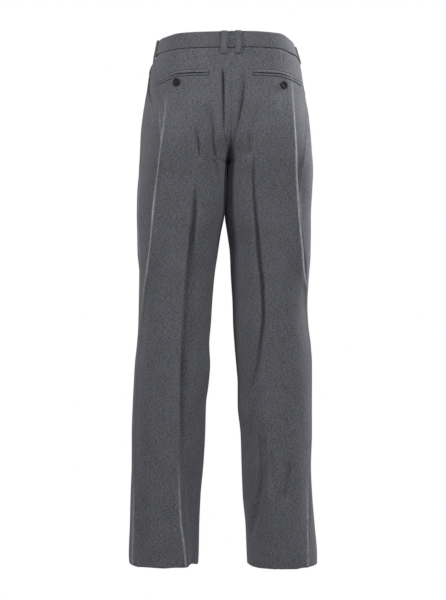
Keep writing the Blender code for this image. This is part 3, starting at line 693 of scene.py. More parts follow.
class Section:
    """One half of the garment, cut level at a drop."""

    def __init__(self, side, drop):
        self.side = side
        self.drop = drop
        outer = read(WIDTHS, "outer_" + side, drop)
        inner = read(WIDTHS, "inner_" + side, drop)
        self.outer = outer
        self.centre = 0.5 * (outer + inner)
        self.half = 0.5 * (outer - inner)
        self.back = read(DEPTHS, "back", drop)
        self.front = read(DEPTHS, "front", drop)
        self.middle = read(DEPTHS, "middle", drop)
        self.square_in = read(DEPTHS, "square_in", drop)
        self.square_out = read(DEPTHS, "square_out", drop)
        self.open = inner < SEAM_STOPS[0]

    def turn_at(self, across, face):
        """The turn at a distance from the middle plane, on the back or the front."""
        share = np.clip((self.centre - across) / self.half, -1.0, 1.0)
        square = self.square_in if share > 0.0 else self.square_out
        cosine = math.copysign(abs(share) ** (square / 2.0), share)
        turn = math.acos(cosine)
        return turn if face == BACK else 2.0 * math.pi - turn

    def bare(self, turn):
        """Points of the loop without folds, as two rows of numbers: across, depth."""
        cosine = np.cos(turn)
        sine = np.sin(turn)
        square = np.where(cosine > 0.0, self.square_in, self.square_out)
        across = self.centre - self.half * np.sign(cosine) * np.abs(cosine) ** (2.0 / square)
        reach = np.where(sine > 0.0, self.back, self.front)
        depth = self.middle + reach * np.sign(sine) * np.abs(sine) ** (2.0 / square)
        return across, depth

    def normal(self, turn):
        ax, ay = self.bare(np.asarray(turn) - TURN_STEP)
        bx, by = self.bare(np.asarray(turn) + TURN_STEP)
        tx, ty = bx - ax, by - ay
        length = np.hypot(tx, ty)
        return -ty / length, tx / length

    def start_turn(self):
        return self.turn_at(0.0, BACK) if self.open else 0.0

    def seam_turn(self):
        inset = read(SIDE_SEAMS, self.side, self.drop)
        return self.turn_at(self.outer - inset, BACK)

    def crease_turn(self, face):
        return self.turn_at(read(CREASES, FACES[face] + self.side, self.drop), face)

    def measure(self, start, end):
        """Turns along the loop with the length of cloth from the start to each."""
        turns = np.linspace(start, end, MEASURES)
        across, depth = self.bare(turns)
        lengths = np.concatenate(([0.0], np.cumsum(np.hypot(np.diff(across), np.diff(depth)))))
        return turns, lengths

    def edge_fade(self, across):
        share = np.clip(np.abs((across - self.centre) / self.half), 0.0, 1.0)
        return 1.0 - share ** 4

    def seam_fade(self, across):
        inner = 0.0 if self.open else self.centre - self.half
        return smooth(across - inner, 1.5, 6.0)

    def relief(self, turn):
        """How far the pressed creases and the folds lift the cloth at each turn."""
        across, _ = self.bare(turn)
        face = np.where(np.sin(turn) > 0.0, BACK, FRONT)
        lift = np.zeros_like(across)
        edge = self.edge_fade(across)
        heights = {BACK: "back_ridge_" + self.side, FRONT: "front_ridge"}
        for side_face, name in FACES.items():
            ridge = read(CREASES, heights[side_face], self.drop)
            line = read(CREASES, name + self.side, self.drop)
            away = np.sqrt((across - line) ** 2 + CREASE_ROUND) - 0.77
            lift = lift + np.where(face == side_face, ridge * np.exp(-away / CREASE_REACH) * edge, 0.0)
        for side, fold_face, inner, outer, path in FOLDS:
            if side != self.side or not spans(path, self.drop):
                continue
            line, depth = path_at(path, self.drop)
            away = across - line
            trough = -depth * bell(away, np.where(away < 0.0, inner, outer)) * self.seam_fade(across)
            lift = lift + np.where(face == fold_face, trough, 0.0)
        return lift + self.rumples(across, face) * edge * self.seam_fade(across)

    def rumples(self, across, face):
        total = np.zeros_like(across)
        for side_face in FACES:
            seed = settings("trim").rumple_seed + RUMPLE_SETS.index((self.side, side_face))
            drops, lines, longs, wides, slants, heights = scatter_rumples(seed)
            near = np.abs(self.drop - drops) < 2.2 * longs
            if not near.any():
                continue
            down = self.drop - drops[near]
            line = lines[near] + slants[near] * down
            rise = heights[near] * bell(down, longs[near])
            shape = bell(across[None, :] - line[:, None], wides[near][:, None]) * rise[:, None]
            total = total + np.where(face == side_face, shape.sum(axis=0), 0.0)
        return total * settings("cloth").rumple / MM

    def points(self, turn, lift=0.0, drop=None):
        """World points in metres at turns of the loop, lifted off the cloth's face."""
        turn = np.atleast_1d(np.asarray(turn, dtype=float))
        across, depth = self.bare(turn)
        nx, ny = self.normal(turn)
        total = self.relief(turn) + lift
        x = SIGN[self.side] * (across + nx * total)
        y = depth + ny * total
        drop = self.drop if drop is None else drop
        z = level(x, y, self.drop) - drop - pocket_fall(self.side, self.drop, across) * (y > 0.0)
        return np.stack((x, y, z), axis=-1) * MM


@functools.lru_cache(maxsize=None)
def section_at(side, drop):
    """A section made once and kept, for pieces that ask for the same drops many times."""
    return Section(side, drop)


def side_seam(away):
    """A side seam or inseam: its edges stand up a little round a fine ditch."""
    return bell(away, SEAM_FLANK) - 0.8 * bell(away, SEAM_DITCH)


def side_ledge(away):
    """The back panel's edge rolls down to a side seam."""
    return bell(away, LEDGE_WIDTH) * (1.0 - bell(away, 1.0))


def centre_seam(away):
    """The centre back seam: a shallow ditch between two soft ridges."""
    return 0.5 * bell(away - CENTRE_AWAY, CENTRE_RIDGE) - 0.45 * bell(away, CENTRE_DITCH)


def spread(first, last, count):
    return np.linspace(first, last, count + 2)[1:-1]


def panel_path():
    """The rows of a panel, as (drop, lift)."""
    start, end, step = POCKET_ROWS
    drops = list(BAND_DITCH) + list(np.arange(BAND_DITCH[-1] + PANEL_STEP, start - 1.0, PANEL_STEP))
    drops += list(np.arange(start, end, step))
    drops += list(np.linspace(end, HEM_TURN[0][0], int((HEM_TURN[0][0] - end) / PANEL_STEP))[:-1])
    return [(drop, 0.0) for drop in drops] + list(HEM_TURN)


def pocket_slot(side, drop, across):
    """The cut of the back pocket between its welts, and the ditches along them."""
    welt = WELTS[side]
    inner, outer = welt["inner"], welt["outer"]
    away = drop - welt["slit"]
    slot = SLOT_DEPTH * math.exp(-((away / SLOT_HALF) ** 4))
    ditches = 0.9 * bell(abs(away) - WELT_EDGE, 0.8)
    return -(slot + ditches) * window(across, inner - 0.6, inner + 1.0, outer - 1.0, outer + 0.6)


def dart(drop, across):
    """The stitched dart between the band and the back pocket."""
    away = across - (DART_LINE + DART_SLANT * (drop - 15.0))
    fade = 1.0 - smooth(drop, DART_FOOT - 10.0, DART_FOOT)
    return fade * (0.55 * bell(away + 2.2, 1.8) - 0.9 * bell(away, 0.9))


def loop_grooves(side, turn, drop):
    """The cloth dips close beside each belt loop."""
    dips = np.zeros_like(turn)
    width = settings("trim").loop_width / MM
    half = Section(side, drop).half
    fade = 1.0 - smooth(drop, 27.0, 30.0)
    for loop in LOOPS:
        if loop["side"] == side and fade > 0.0:
            middle = section_at(side, 0.0).turn_at(loop["x"], loop["face"])
            away = np.abs(turn - middle) * half - width / 2.0 - LOOP_REACH
            dips = dips - LOOP_GROOVE * fade * bell(away, 1.0)
    return dips


def band_ditch(drop):
    """The panels sink a little where they are sewn under the band."""
    return -DITCH_DEPTH * bell(drop - BAND_FOOT, 1.5)


def painted_highlight_edges(side, panel, drop, stops, place=float):
    """How strongly a painted highlight lightens a panel along its edges, from 0 to 1.

    The stops and what place makes of an edge's across value are measured alike.
    """
    pale = np.zeros_like(stops)
    for edge_side, edge_panel, width, path in EDGES:
        if (edge_side, edge_panel) != (side, panel) or not spans(path, drop):
            continue
        line, share = path_at(path, drop)
        pale = np.maximum(pale, share * bell(stops - place(line), width))
    return pale


def hem_wave(turn, drop, side):
    """Hems hang a little unevenly: an amount added to each drop."""
    phase = HEM_PHASE[side]
    amount = 0.9 * np.sin(2.0 * turn + phase) + 0.5 * np.sin(5.0 * turn + 2.0 * phase)
    return amount * smooth(drop, 900.0, 1020.0)


def back_row(side, drop, lift):
    """Points across a back panel, from the centre seam or inseam to the side seam."""
    section = Section(side, drop)
    turns, lengths = section.measure(section.start_turn(), section.seam_turn())
    sharp = section.turn_at(read(SHARP, "line_" + side, drop), BACK)
    sharp = float(np.interp(sharp, turns, lengths))
    last = lengths[-1]
    near = np.array(SEAM_STOPS)
    close = sharp + np.concatenate((-np.array(SHARP_STOPS)[::-1], [0.0], SHARP_STOPS))
    stops = np.concatenate((
        near, spread(near[-1], close[0], BACK_COLUMNS[0]), close,
        spread(close[-1], last - near[-1], BACK_COLUMNS[1]), last - near[::-1],
    ))
    turn = np.interp(stops, lengths, turns)
    across, _ = section.bare(turn)
    form = centre_seam(stops) if section.open else side_seam(stops)
    form = form + read(LEDGES, side, drop) * side_ledge(last - stops)
    form = form + read(SHARP, "pinch_" + side, drop) * bell(stops - sharp, 1.5)
    if abs(drop - WELTS[side]["slit"]) < SLOT_REACH:
        form = form + pocket_slot(side, drop, across)
    form = form + dart(drop, across) + band_ditch(drop) + loop_grooves(side, turn, drop)
    points = section.points(turn, lift + form, drop + hem_wave(turn, drop, side))
    if section.open:
        points[0, 0] = -SIGN[side] * SEAM_CROSSING
    # Painted highlight along the edges listed for the back panel.
    return points, stops, painted_highlight_edges(side, BACK, drop, across)


def front_row(side, drop, lift):
    """Points across a front panel, from the side seam to the centre seam or inseam."""
    section = Section(side, drop)
    turns, lengths = section.measure(section.seam_turn(), 2.0 * math.pi - section.start_turn())
    crease = float(np.interp(section.crease_turn(FRONT), turns, lengths))
    last = lengths[-1]
    height = read(PLEAT, "height", drop)
    lap = read(PLEAT, "lap", drop)
    foot = -PLEAT_FOOT if lap < 0.0 else -PLEAT_TURN
    near = np.array(SEAM_STOPS)
    keys = crease + np.array((-PLEAT_APPROACH, foot, lap, 0.0, PLEAT_FACE))
    depths = np.array((0.0, height, height, 0.0, 0.0))
    parts = [np.linspace(i, i + 1, n, endpoint=False) for i, n in enumerate(PLEAT_COLUMNS)]
    at = np.concatenate(parts)
    pleat = np.interp(at, range(5), keys)
    sunk = np.interp(at, range(5), depths)
    stops = np.concatenate((
        near, spread(near[-1], keys[0], FRONT_COLUMNS[0]), pleat, [keys[-1]],
        spread(keys[-1], last - near[-1], FRONT_COLUMNS[1]), last - near[::-1],
    ))
    insets = np.zeros_like(stops)
    first = len(near) + FRONT_COLUMNS[0]
    insets[first:first + len(sunk)] = sunk
    zone = slice(first, first + len(sunk) + 1)
    for _ in range(2):
        for line in (stops, insets):
            soft = 0.25 * line[:-2] + 0.5 * line[1:-1] + 0.25 * line[2:]
            line[zone] = soft[first - 1:first + len(sunk)]
    turn = np.interp(stops, lengths, turns)
    inner_seam = centre_seam if section.open else side_seam
    form = side_seam(stops) + inner_seam(last - stops) - insets + band_ditch(drop)
    run = np.concatenate(([0.0], np.cumsum(np.hypot(np.diff(stops), np.diff(insets)))))
    # Painted highlight: the front crease and the listed edges are lightened where light catches them.
    pale = CREASE_SHARE * smooth(drop, 180.0, 320.0) * bell(stops - crease, 1.4)

    def along(across):
        return float(np.interp(section.turn_at(across, BACK), turns, lengths))

    pale = pale + painted_highlight_edges(side, FRONT, drop, stops, along)
    points = section.points(turn, lift + form, drop + hem_wave(turn, drop, side))
    if section.open:
        points[-1, 0] = -SIGN[side] * SEAM_CROSSING
    return points, run, pale


def mesh_of(name, shape):
    mesh = bpy.data.meshes.new(name)
    shape.to_mesh(mesh)
    shape.free()
    return mesh


def put_in(name, data):
    item = bpy.data.objects.new(name, data)
    bpy.context.scene.collection.objects.link(item)
    return item


def add_item(name, mesh, finish):
    """A mesh put in the scene with its material."""
    mesh.materials.append(finish)
    return put_in(name, mesh)


def cut_cloth(name, rows, flat, wall, finish, flip=False, pale=None):
    """A cloth wall on a grid of outer points, row by row from top to foot, with its flat map."""
    rows = np.asarray(rows, dtype=float)
    flat = np.asarray(flat, dtype=float)
    pale = np.zeros(rows.shape[:2]) if pale is None else np.asarray(pale, dtype=float)
    if flip:
        rows = rows[:, ::-1]
        flat = flat[:, ::-1]
        pale = pale[:, ::-1]
    row_count, column_count = rows.shape[:2]
    shape = bmesh.new()
    bmesh.ops.create_grid(shape, x_segments=column_count - 1, y_segments=row_count - 1, size=0.5)
    mesh = mesh_of(name, shape)
    spots = np.zeros(len(mesh.vertices) * 3)
    mesh.vertices.foreach_get("co", spots)
    spots = spots.reshape(-1, 3)
    column = np.rint((spots[:, 0] + 0.5) * (column_count - 1)).astype(int)
    row = np.rint((spots[:, 1] + 0.5) * (row_count - 1)).astype(int)
    mesh.vertices.foreach_set("co", rows[row, column].ravel())
    # Each point carries its share of the painted highlight, which the cloth's finish reads.
    mesh.attributes.new(PAINTED_HIGHLIGHT, "FLOAT", "POINT").data.foreach_set("value", pale[row, column])
    corners = np.zeros(len(mesh.loops), dtype=int)
    mesh.loops.foreach_get("vertex_index", corners)
    cloth_map = mesh.uv_layers.new(name=CLOTH_MAP)
    cloth_map.data.foreach_set("uv", flat[row[corners], column[corners]].ravel())
    mesh.update()
    mesh.shade_smooth()
    item = add_item(name, mesh, finish)
    solid = item.modifiers.new("wall", "SOLIDIFY")
    solid.thickness = wall
    solid.offset = -1.0
    return item


def sew(item, slot, *nodes):
    """A finished piece rides on the garment and stands for its solids."""
    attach(item, BODY)
    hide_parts(*nodes)


def flat_map(runs, downs):
    """Where each point of a grid lies in the flat cloth, in metres."""
    along = np.array(runs) * MM
    down = np.repeat(-np.array(downs)[:, None] * MM, len(runs[0]), axis=1)
    return np.stack((along, down), axis=-1)


def run_of(path):
    """Distances along a path of (drop, lift)."""
    steps = np.hypot(np.diff([p[0] for p in path]), np.diff([p[1] for p in path]))
    return np.concatenate(([0.0], np.cumsum(steps)))


class Wire:
    """A value in a material's nodes, so that their arithmetic can be written plainly."""

    def __init__(self, finish, socket):
        self.finish = finish
        self.socket = socket

    def maths(self, operation, first, second=0.0):
        return self.finish.node("Math", {"operation": operation}, {0: first, 1: second})

    def __add__(self, other):
        return self.maths("ADD", self, other)

    __radd__ = __add__

    def __sub__(self, other):
        return self.maths("SUBTRACT", self, other)

    def __rsub__(self, other):
        return self.maths("SUBTRACT", other, self)

    def __mul__(self, other):
        return self.maths("MULTIPLY", self, other)

    __rmul__ = __mul__

    def wave(self):
        return self.maths("SINE", self)

    def held(self):
        """Kept between 0 and 1."""
        return self.finish.node("Clamp", {}, {"Value": self})


class Finish:
    """A material and the nodes that make it."""

    def __init__(self, name):
        self.material = bpy.data.materials.new(name)
        self.material.use_nodes = True
        self.tree = self.material.node_tree
        self.shader = self.tree.nodes["Principled BSDF"]

    def node(self, kind, setup, sockets, out=0):
        made = self.tree.nodes.new("ShaderNode" + kind)
        for name, value in setup.items():
            setattr(made, name, value)
        for name, value in sockets.items():
            self.fill(made.inputs[name], value)
        return Wire(self, made.outputs[out])

    def fill(self, socket, value):
        if isinstance(value, Wire):
            self.tree.links.new(value.socket, socket)
        else:
            socket.default_value = value

    def noise(self, place, scale, detail=2.0, roughness=0.5):
        sockets = {"Vector": place, "Scale": scale, "Detail": detail, "Roughness": roughness}
        return self.node("TexNoise", {}, sockets)

    def blend(self, share, first, second, kind="MIX"):
        """A mix of two colours."""
        setup = {"data_type": "RGBA", "blend_type": kind}
        return self.node("Mix", setup, {0: share, 6: first, 7: second}, out=MIX_OUT)

    def stretched(self, place, scale):
        return self.node("VectorMath", {"operation": "MULTIPLY"}, {0: place, 1: scale})

    def polish(self, **sockets):
        for name, value in sockets.items():
            self.fill(self.shader.inputs[name.replace("_", " ")], value)


def tone(colour, times, more=0.0):
    """A plain colour made lighter or darker."""
    return tuple(c * times + more for c in colour[:3]) + (1.0,)


def flannel(name):
    """Milled wool flannel: mixed light and dark fibres over a soft twill, with a short nap."""
    if name in bpy.data.materials:
        return bpy.data.materials[name]
    cloth = settings("cloth")
    finish = Finish(name)
    place = finish.node("TexCoord", {}, {}, out=OBJECT_OUT)
    lie = finish.node("UVMap", {"uv_map": CLOTH_MAP}, {})
    along = finish.node("SeparateXYZ", {}, {"Vector": lie}, out=0)
    down = finish.node("SeparateXYZ", {}, {"Vector": lie}, out=1)
    fibre = finish.noise(finish.stretched(lie, (250.0, 1000.0, 1.0)), 1.0, 2.0, 0.6)
    yarn = finish.noise(finish.stretched(lie, (900.0, 1000.0, 1.0)), 1.0, 3.0, 0.7)
    mixed = finish.noise(place, 540.0, 3.0, 0.8)
    cloud = finish.noise(place, 26.0, 3.0, 0.6)
    shade = 0.5 + (mixed - 0.5) * 2.1 + (yarn - 0.5) * 1.3 + (fibre - 0.5) * 2.0
    shade = shade + (cloud - 0.5) * 0.25
    dark = tone(cloth.dark_yarn, FLANNELS[name])
    light = tone(cloth.light_yarn, FLANNELS[name])
    colour = finish.blend(shade.held(), dark, light)
    cool = finish.noise(finish.stretched(place, (1.0, 1.0, 0.8)), 110.0, 2.0, 0.6)
    warm = finish.noise(finish.stretched(place, (0.9, 1.1, 1.0)), 83.0, 2.0, 0.6)
    cool = (0.5 + (cool - 0.5) * 2.0).held()
    warm = (0.5 + (warm - 0.5) * 1.6).held()
    colour = finish.blend(1.0, colour, finish.blend(cool, *CASTS), "MULTIPLY")
    colour = finish.blend(1.0, colour, finish.blend(warm, *TINTS), "MULTIPLY")
    # Painted highlight: the attribute, broken up by a noise, blends the cloth towards a pale colour where
    # light catches its seams, creases and outlines.
    pressed = finish.node("Attribute", {"attribute_name": PAINTED_HIGHLIGHT}, {}, out=FACTOR_OUT)
    worn = finish.noise(place, 90.0, 4.0, 0.8) * 3.0 - 0.55
    colour = finish.blend((pressed * worn).held(), colour, HIGHLIGHT_COLOUR)
    twill = ((along + down) * (2.0 * math.pi / cloth.weave)).wave()
    height = twill * 0.22 + yarn * 1.1 + fibre * 0.8
    bump = finish.node("Bump", {}, {"Strength": 0.2, "Distance": 0.0004, "Height": height})
    finish.polish(Base_Color=colour, Roughness=0.85 + (yarn - 0.5) * 0.2, Normal=bump)
    finish.polish(Sheen_Weight=0.22, Sheen_Roughness=0.45, Sheen_Tint=NAP_COLOUR)
    finish.polish(Specular_IOR_Level=0.25)
    return finish.material


def horn(name):
    """Dark polished horn with faint mottling and fine turning marks."""
    if name in bpy.data.materials:
        return bpy.data.materials[name]
    finish = Finish(name)
    place = finish.node("TexCoord", {}, {}, out=OBJECT_OUT)
    mottle = finish.noise(finish.stretched(place, (1.0, 1.0, 2.2)), 420.0, 3.0, 0.6)
    rub = finish.noise(place, 2600.0, 2.0, 0.5)
    base = tuple(settings("trim").button_colour)
    colour = finish.blend(((mottle - 0.42) * 2.4).held(), base, tone(base, 2.4, 0.003))
    bump = finish.node("Bump", {}, {"Strength": 0.15, "Distance": 0.0001, "Height": rub})
    finish.polish(Base_Color=colour, Roughness=0.7 + (rub - 0.5) * 0.2, Normal=bump)
    finish.polish(Specular_IOR_Level=0.2)
    return finish.material


def thread(name):
    """Twisted polyester thread."""
    if name in bpy.data.materials:
        return bpy.data.materials[name]
    finish = Finish(name)
    place = finish.node("TexCoord", {}, {}, out=OBJECT_OUT)
    ply = finish.noise(place, 3000.0, 2.0, 0.6)
    base = tone(settings("trim").thread_colour, THREADS[name])
    colour = finish.blend(ply, base, tone(base, 1.8))
    finish.polish(Base_Color=colour, Roughness=0.55 + (ply - 0.5) * 0.3)
    finish.polish(Sheen_Weight=0.2, Specular_IOR_Level=0.3)
    return finish.material


def stitch_bars(name, bars, thick=STITCH, spool="thread"):
    """Short rounded stitches, each from one point to another with the way it stands out."""
    shape = bmesh.new()
    for start, end, out in bars:
        start, end, out = Vector(start), Vector(end), Vector(out).normalized()
        along = end - start
        length = along.length
        along.normalize()
        over = out.cross(along).normalized()
        made = bmesh.ops.create_icosphere(shape, subdivisions=1, radius=0.5)
        turn = Matrix((along * length * 1.12, over * thick, out * thick)).transposed().to_4x4()
        turn.translation = (start + end) / 2.0
        bmesh.ops.transform(shape, matrix=turn, verts=made["verts"])
    bmesh.ops.recalc_face_normals(shape, faces=shape.faces)
    mesh = mesh_of(name, shape)
    mesh.shade_smooth()
    item = add_item(name, mesh, thread(spool))
    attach(item, BODY)


def cloth_point(side, across, face, drop, lift):
    section = Section(side, drop)
    return Vector(section.points(section.turn_at(across, face), lift)[0])


def outward(section, turn, low, high):
    """The way out of the cloth, from one lift to a higher one."""
    return Vector(section.points(turn, high)[0]) - Vector(section.points(turn, low)[0])


def stitch_row(points, outs, gap=0.35):
    """Stitches end to end along a line of points, each shortened by a gap."""
    bars = []
    for first, second, out in zip(points[:-1], points[1:], outs):
        first, second = Vector(first), Vector(second)
        inset = (second - first) * (0.5 * gap)
        bars.append((first + inset, second - inset, out))
    return bars


class TROUSERS_OT_back_panels(bpy.types.Operator):
    """Cut both back panels, each the seat and the back half of a leg"""

    bl_idname = "trousers.back_panels"
    bl_label = "Back Panels"

    def execute(self, context):
        build_panels("back", back_row)
        return {"FINISHED"}


class TROUSERS_OT_front_panels(bpy.types.Operator):
    """Cut both front panels with their waist pleats"""

    bl_idname = "trousers.front_panels"
    bl_label = "Front Panels"

    def execute(self, context):
        build_panels("front", front_row)
        return {"FINISHED"}


def build_panels(place, make_row):
    path = panel_path()
    downs = run_of(path)
    for side in (LEFT, RIGHT):
        made = [make_row(side, drop, lift) for drop, lift in path]
        rows, runs, pale = zip(*made)
        flat = flat_map(runs, downs)
        name = "cloth_" + place + "_" + side
        wall = settings("cloth").wall
        item = cut_cloth(name, rows, flat, wall, flannel("flannel"), side == RIGHT, pale)
        sew(item, "wool", place + "_" + side)


class TROUSERS_OT_waistband(bpy.types.Operator):
    """Fold both halves of the waistband and lap them at the front"""

    bl_idname = "trousers.waistband"
    bl_label = "Waistband"

    def execute(self, context):
        for side in (LEFT, RIGHT):
            build_band_half(side)
        return {"FINISHED"}


def band_stops(section, side):
    """Turns round half the band, how far each laps over, and how closed its end is."""
    start = section.start_turn()
    end = MID_FRONT + BAND_LAP[side] / section.half
    near = np.array(BAND_END_STOPS) / section.half
    between = np.linspace(start + BAND_END_GAP, end - BAND_END_GAP, BAND_COLUMNS)
    turns = np.concatenate((start + near, between, end - near[::-1]))
    from_start = (turns - start) * section.half
    from_end = (end - turns) * section.half
    to_end = np.clip(from_end / BAND_END_ROUND, 0.0, 1.0)
    closed = np.sqrt(np.clip(1.0 - (1.0 - to_end) ** 2, 0.0, 1.0))
    closed = closed * (1.0 - 0.3 * bell(from_start, 0.6))
    lifts = np.zeros_like(turns)
    if side == LEFT:
        past = (turns - MID_FRONT) * section.half
        lifts = BAND_LAP_LIFT * smooth(past, -BAND_FRONT_ZONE, 15.0 - BAND_FRONT_ZONE)
    return turns, lifts, closed


def build_band_half(side):
    rows, runs = [], []
    for drop, lift in BAND_ROUND:
        section = Section(side, drop)
        turns, laps, closed = band_stops(section, side)
        wave = BAND_WAVE * np.sin(turns * 7.0 + BAND_PHASE[side]) * smooth(lift, -1.0, 0.6)
        grooves = loop_grooves(side, turns, drop) * smooth(lift, -0.8, 0.6)
        lifts = BAND_CORE + (lift - BAND_CORE) * closed + laps + wave + grooves
        rows.append(section.points(turns, lifts))
        runs.append((turns - turns[0]) * section.half)
    flat = flat_map(runs, run_of(BAND_ROUND))
    name = "cloth_waistband_" + side
    wall = settings("cloth").layer
    item = cut_cloth(name, rows, flat, wall, flannel("band_flannel"), side == LEFT)
    sew(item, "waistband_wool", "waistband_" + side)


class TROUSERS_OT_belt_loops(bpy.types.Operator):
    """Fold the six belt loops and tack them to the band"""

    bl_idname = "trousers.belt_loops"
    bl_label = "Belt Loops"

    def execute(self, context):
        tacks = []
        for loop in LOOPS:
            tacks += build_loop(loop)
        stitch_bars("loop_tacks", tacks, LOOP_TACK)
        return {"FINISHED"}


def strip_turns(section, middle_turn, width, columns):
    """Turns across a strip of a given width, centred on a turn."""
    turns, lengths = section.measure(middle_turn - 0.5, middle_turn + 0.5)
    middle = float(np.interp(middle_turn, turns, lengths))
    stops = np.linspace(middle - width / 2.0, middle + width / 2.0, columns + 1)
    return np.interp(stops, lengths, turns), stops - stops[0]


def build_loop(loop):
    """One belt loop: a folded strip with soft edges. Returns its tacking stitches."""
    side = loop["side"]
    width = settings("trim").loop_width / MM
    middle = Section(side, 0.0).turn_at(loop["x"], loop["face"])
    share = np.linspace(-1.0, 1.0, 11)
    share = np.sign(share) * np.abs(share) ** 0.7
    at = (share + 1.0) * LOOP_COLUMNS / 2.0
    rows, runs = [], []
    for drop, lift in LOOP_PATH:
        lift = lift + loop["stand"] * smooth(lift, 1.6, 3.6)
        section = Section(side, drop)
        turns, run = strip_turns(section, middle, width, LOOP_COLUMNS)
        turns = np.interp(at, range(LOOP_COLUMNS + 1), turns)
        crown = -max(0.5, lift - 1.3) * np.abs(share) ** 10 + 0.12 * np.cos(share * 2.4)
        rows.append(section.points(turns, lift + crown))
        runs.append(np.interp(at, range(LOOP_COLUMNS + 1), run))
    flat = flat_map(runs, run_of(LOOP_PATH))
    name = "cloth_" + loop["name"]
    item = cut_cloth(name, rows, flat, LOOP_WALL, flannel("trim_flannel"), side == RIGHT)
    soft = item.modifiers.new("soft edge", "BEVEL")
    soft.width = LOOP_BEVEL
    soft.segments = 2
    soft.angle_limit = math.radians(50.0)
    sew(item, "trim_wool", loop["name"])
    bars = []
    for drop, lift in LOOP_TACKS:
        section = Section(side, drop)
        turns, _ = strip_turns(section, middle, width * 0.8, 7)
        line = section.points(turns, lift)
        out = outward(section, turns[3], lift, lift + 5.0)
        bars += stitch_row(line, [out] * 7, gap=0.12)
    return bars


class TROUSERS_OT_back_pockets(bpy.types.Operator):
    """Sew the two welts of each back pocket, with tacks at their ends"""

    bl_idname = "trousers.back_pockets"
    bl_label = "Back Pockets"

    def execute(self, context):
        bars = []
        for side, welt in WELTS.items():
            for name, sign in (("upper", -1.0), ("lower", 1.0)):
                build_welt(side, welt, name, sign)
            bars += welt_tacks(side, welt)
        stitch_bars("pocket_tacks", bars)
        return {"FINISHED"}


def welt_columns(welt):
    """Across values along a welt, closer together at its ends."""
    ends = np.array(WELT_END_STOPS)
    between = np.linspace(welt["inner"] + 6.0, welt["outer"] - 6.0, WELT_COLUMNS)
    return np.concatenate((welt["inner"] + ends, between, welt["outer"] - ends[::-1]))


def welt_gape(welt, across):
    """How far a welt stands back from the slit: the mouth hangs open in its middle."""
    return 0.25 + WELT_GAPE * window(across - welt["inner"], 2.0, 16.0, 52.0, 82.0)


def build_welt(side, welt, name, sign):
    across = welt_columns(welt)
    gape = welt_gape(welt, across)
    ends = smooth(np.minimum(across - across[0], across[-1] - across), -0.6, 1.8)
    rows, runs = [], []
    for from_slit, lift in WELT_ROUND:
        away = np.full_like(gape, from_slit)
        if from_slit < 2.0:
            away = np.maximum(from_slit, gape * (0.6 if sign < 0.0 else 1.0))
        lifts = lift * np.where(lift > 0.0, ends, 1.0)
        spots = []
        for a, x, rise in zip(away, across, lifts):
            section = section_at(side, round(welt["slit"] + sign * float(a), 2))
            spots.append(section.points(section.turn_at(x, BACK), rise)[0])
        rows.append(spots)
        runs.append(across - across[0])
    if sign > 0.0:
        rows, runs = rows[::-1], runs[::-1]
    flat = flat_map(runs, run_of(WELT_ROUND))
    node = "back_welt_" + name + "_" + side
    wall = settings("cloth").layer
    item = cut_cloth("cloth_" + node, rows, flat, wall, flannel("trim_flannel"), side == RIGHT)
    sew(item, "trim_wool", node)


def welt_tacks(side, welt):
    """Close stitches across both ends of a back pocket."""
    bars = []
    for across in (welt["inner"] - 0.3, welt["inner"] + 0.35, welt["outer"] + 0.3, welt["outer"] - 0.35):
        drops = np.linspace(welt["slit"] - 5.4, welt["slit"] + 5.4, 9)
        line = [cloth_point(side, across, BACK, drop, 0.75) for drop in drops]
        section = section_at(side, welt["slit"])
        out = outward(section, section.turn_at(across, BACK), 0.75, 6.0)
        bars += stitch_row(line, [out] * 8, gap=0.15)
    return bars


class TROUSERS_OT_buttons(bpy.types.Operator):
    """Turn the two four-hole buttons and sew them on"""

    bl_idname = "trousers.buttons"
    bl_label = "Buttons"

    def execute(self, context):
        for button in BUTTONS:
            build_button(button)
        return {"FINISHED"}


def place_on_back(side, across, drop, lift, reach=4.0):
    """A frame on the back whose third axis stands square to the cloth."""
    over = cloth_point(side, across + reach, BACK, drop, 0.0)
    over = over - cloth_point(side, across - reach, BACK, drop, 0.0)
    down = cloth_point(side, across, BACK, drop + reach, 0.0)
    down = down - cloth_point(side, across, BACK, drop - reach, 0.0)
    out = over.cross(down).normalized() * SIGN[side]
    down = (down - out * down.dot(out)).normalized()
    over = down.cross(out).normalized()
    frame_on = Matrix((over, out.cross(over), out)).transposed().to_4x4()
    frame_on.translation = cloth_point(side, across, BACK, drop, lift)
    return frame_on


def build_button(button):
    side = button["side"]
    half = settings("trim").button_width / 2.0
    shape = bmesh.new()
    verts = [shape.verts.new((x * half, 0.0, z * BUTTON_TALL)) for x, z in BUTTON_PROFILE]
    edges = [shape.edges.new(pair) for pair in zip(verts, verts[1:])]
    bmesh.ops.spin(
        shape, geom=verts + edges, cent=(0.0, 0.0, 0.0), axis=(0.0, 0.0, 1.0),
        angle=2.0 * math.pi, steps=BUTTON_STEPS, use_merge=True,
    )
    bmesh.ops.remove_doubles(shape, verts=shape.verts, dist=1e-6)
    bmesh.ops.recalc_face_normals(shape, faces=shape.faces)
    stand = place_on_back(side, button["x"], button["drop"], BUTTON_LIFT)
    bmesh.ops.transform(shape, matrix=stand, verts=shape.verts)
    name = "back_button_" + side
    mesh = mesh_of("horn_" + name, shape)
    mesh.shade_smooth()
    sew(add_item("horn_" + name, mesh, horn("horn")), "button", name)
    sew_button(side, stand)
    button_loop(side, button)


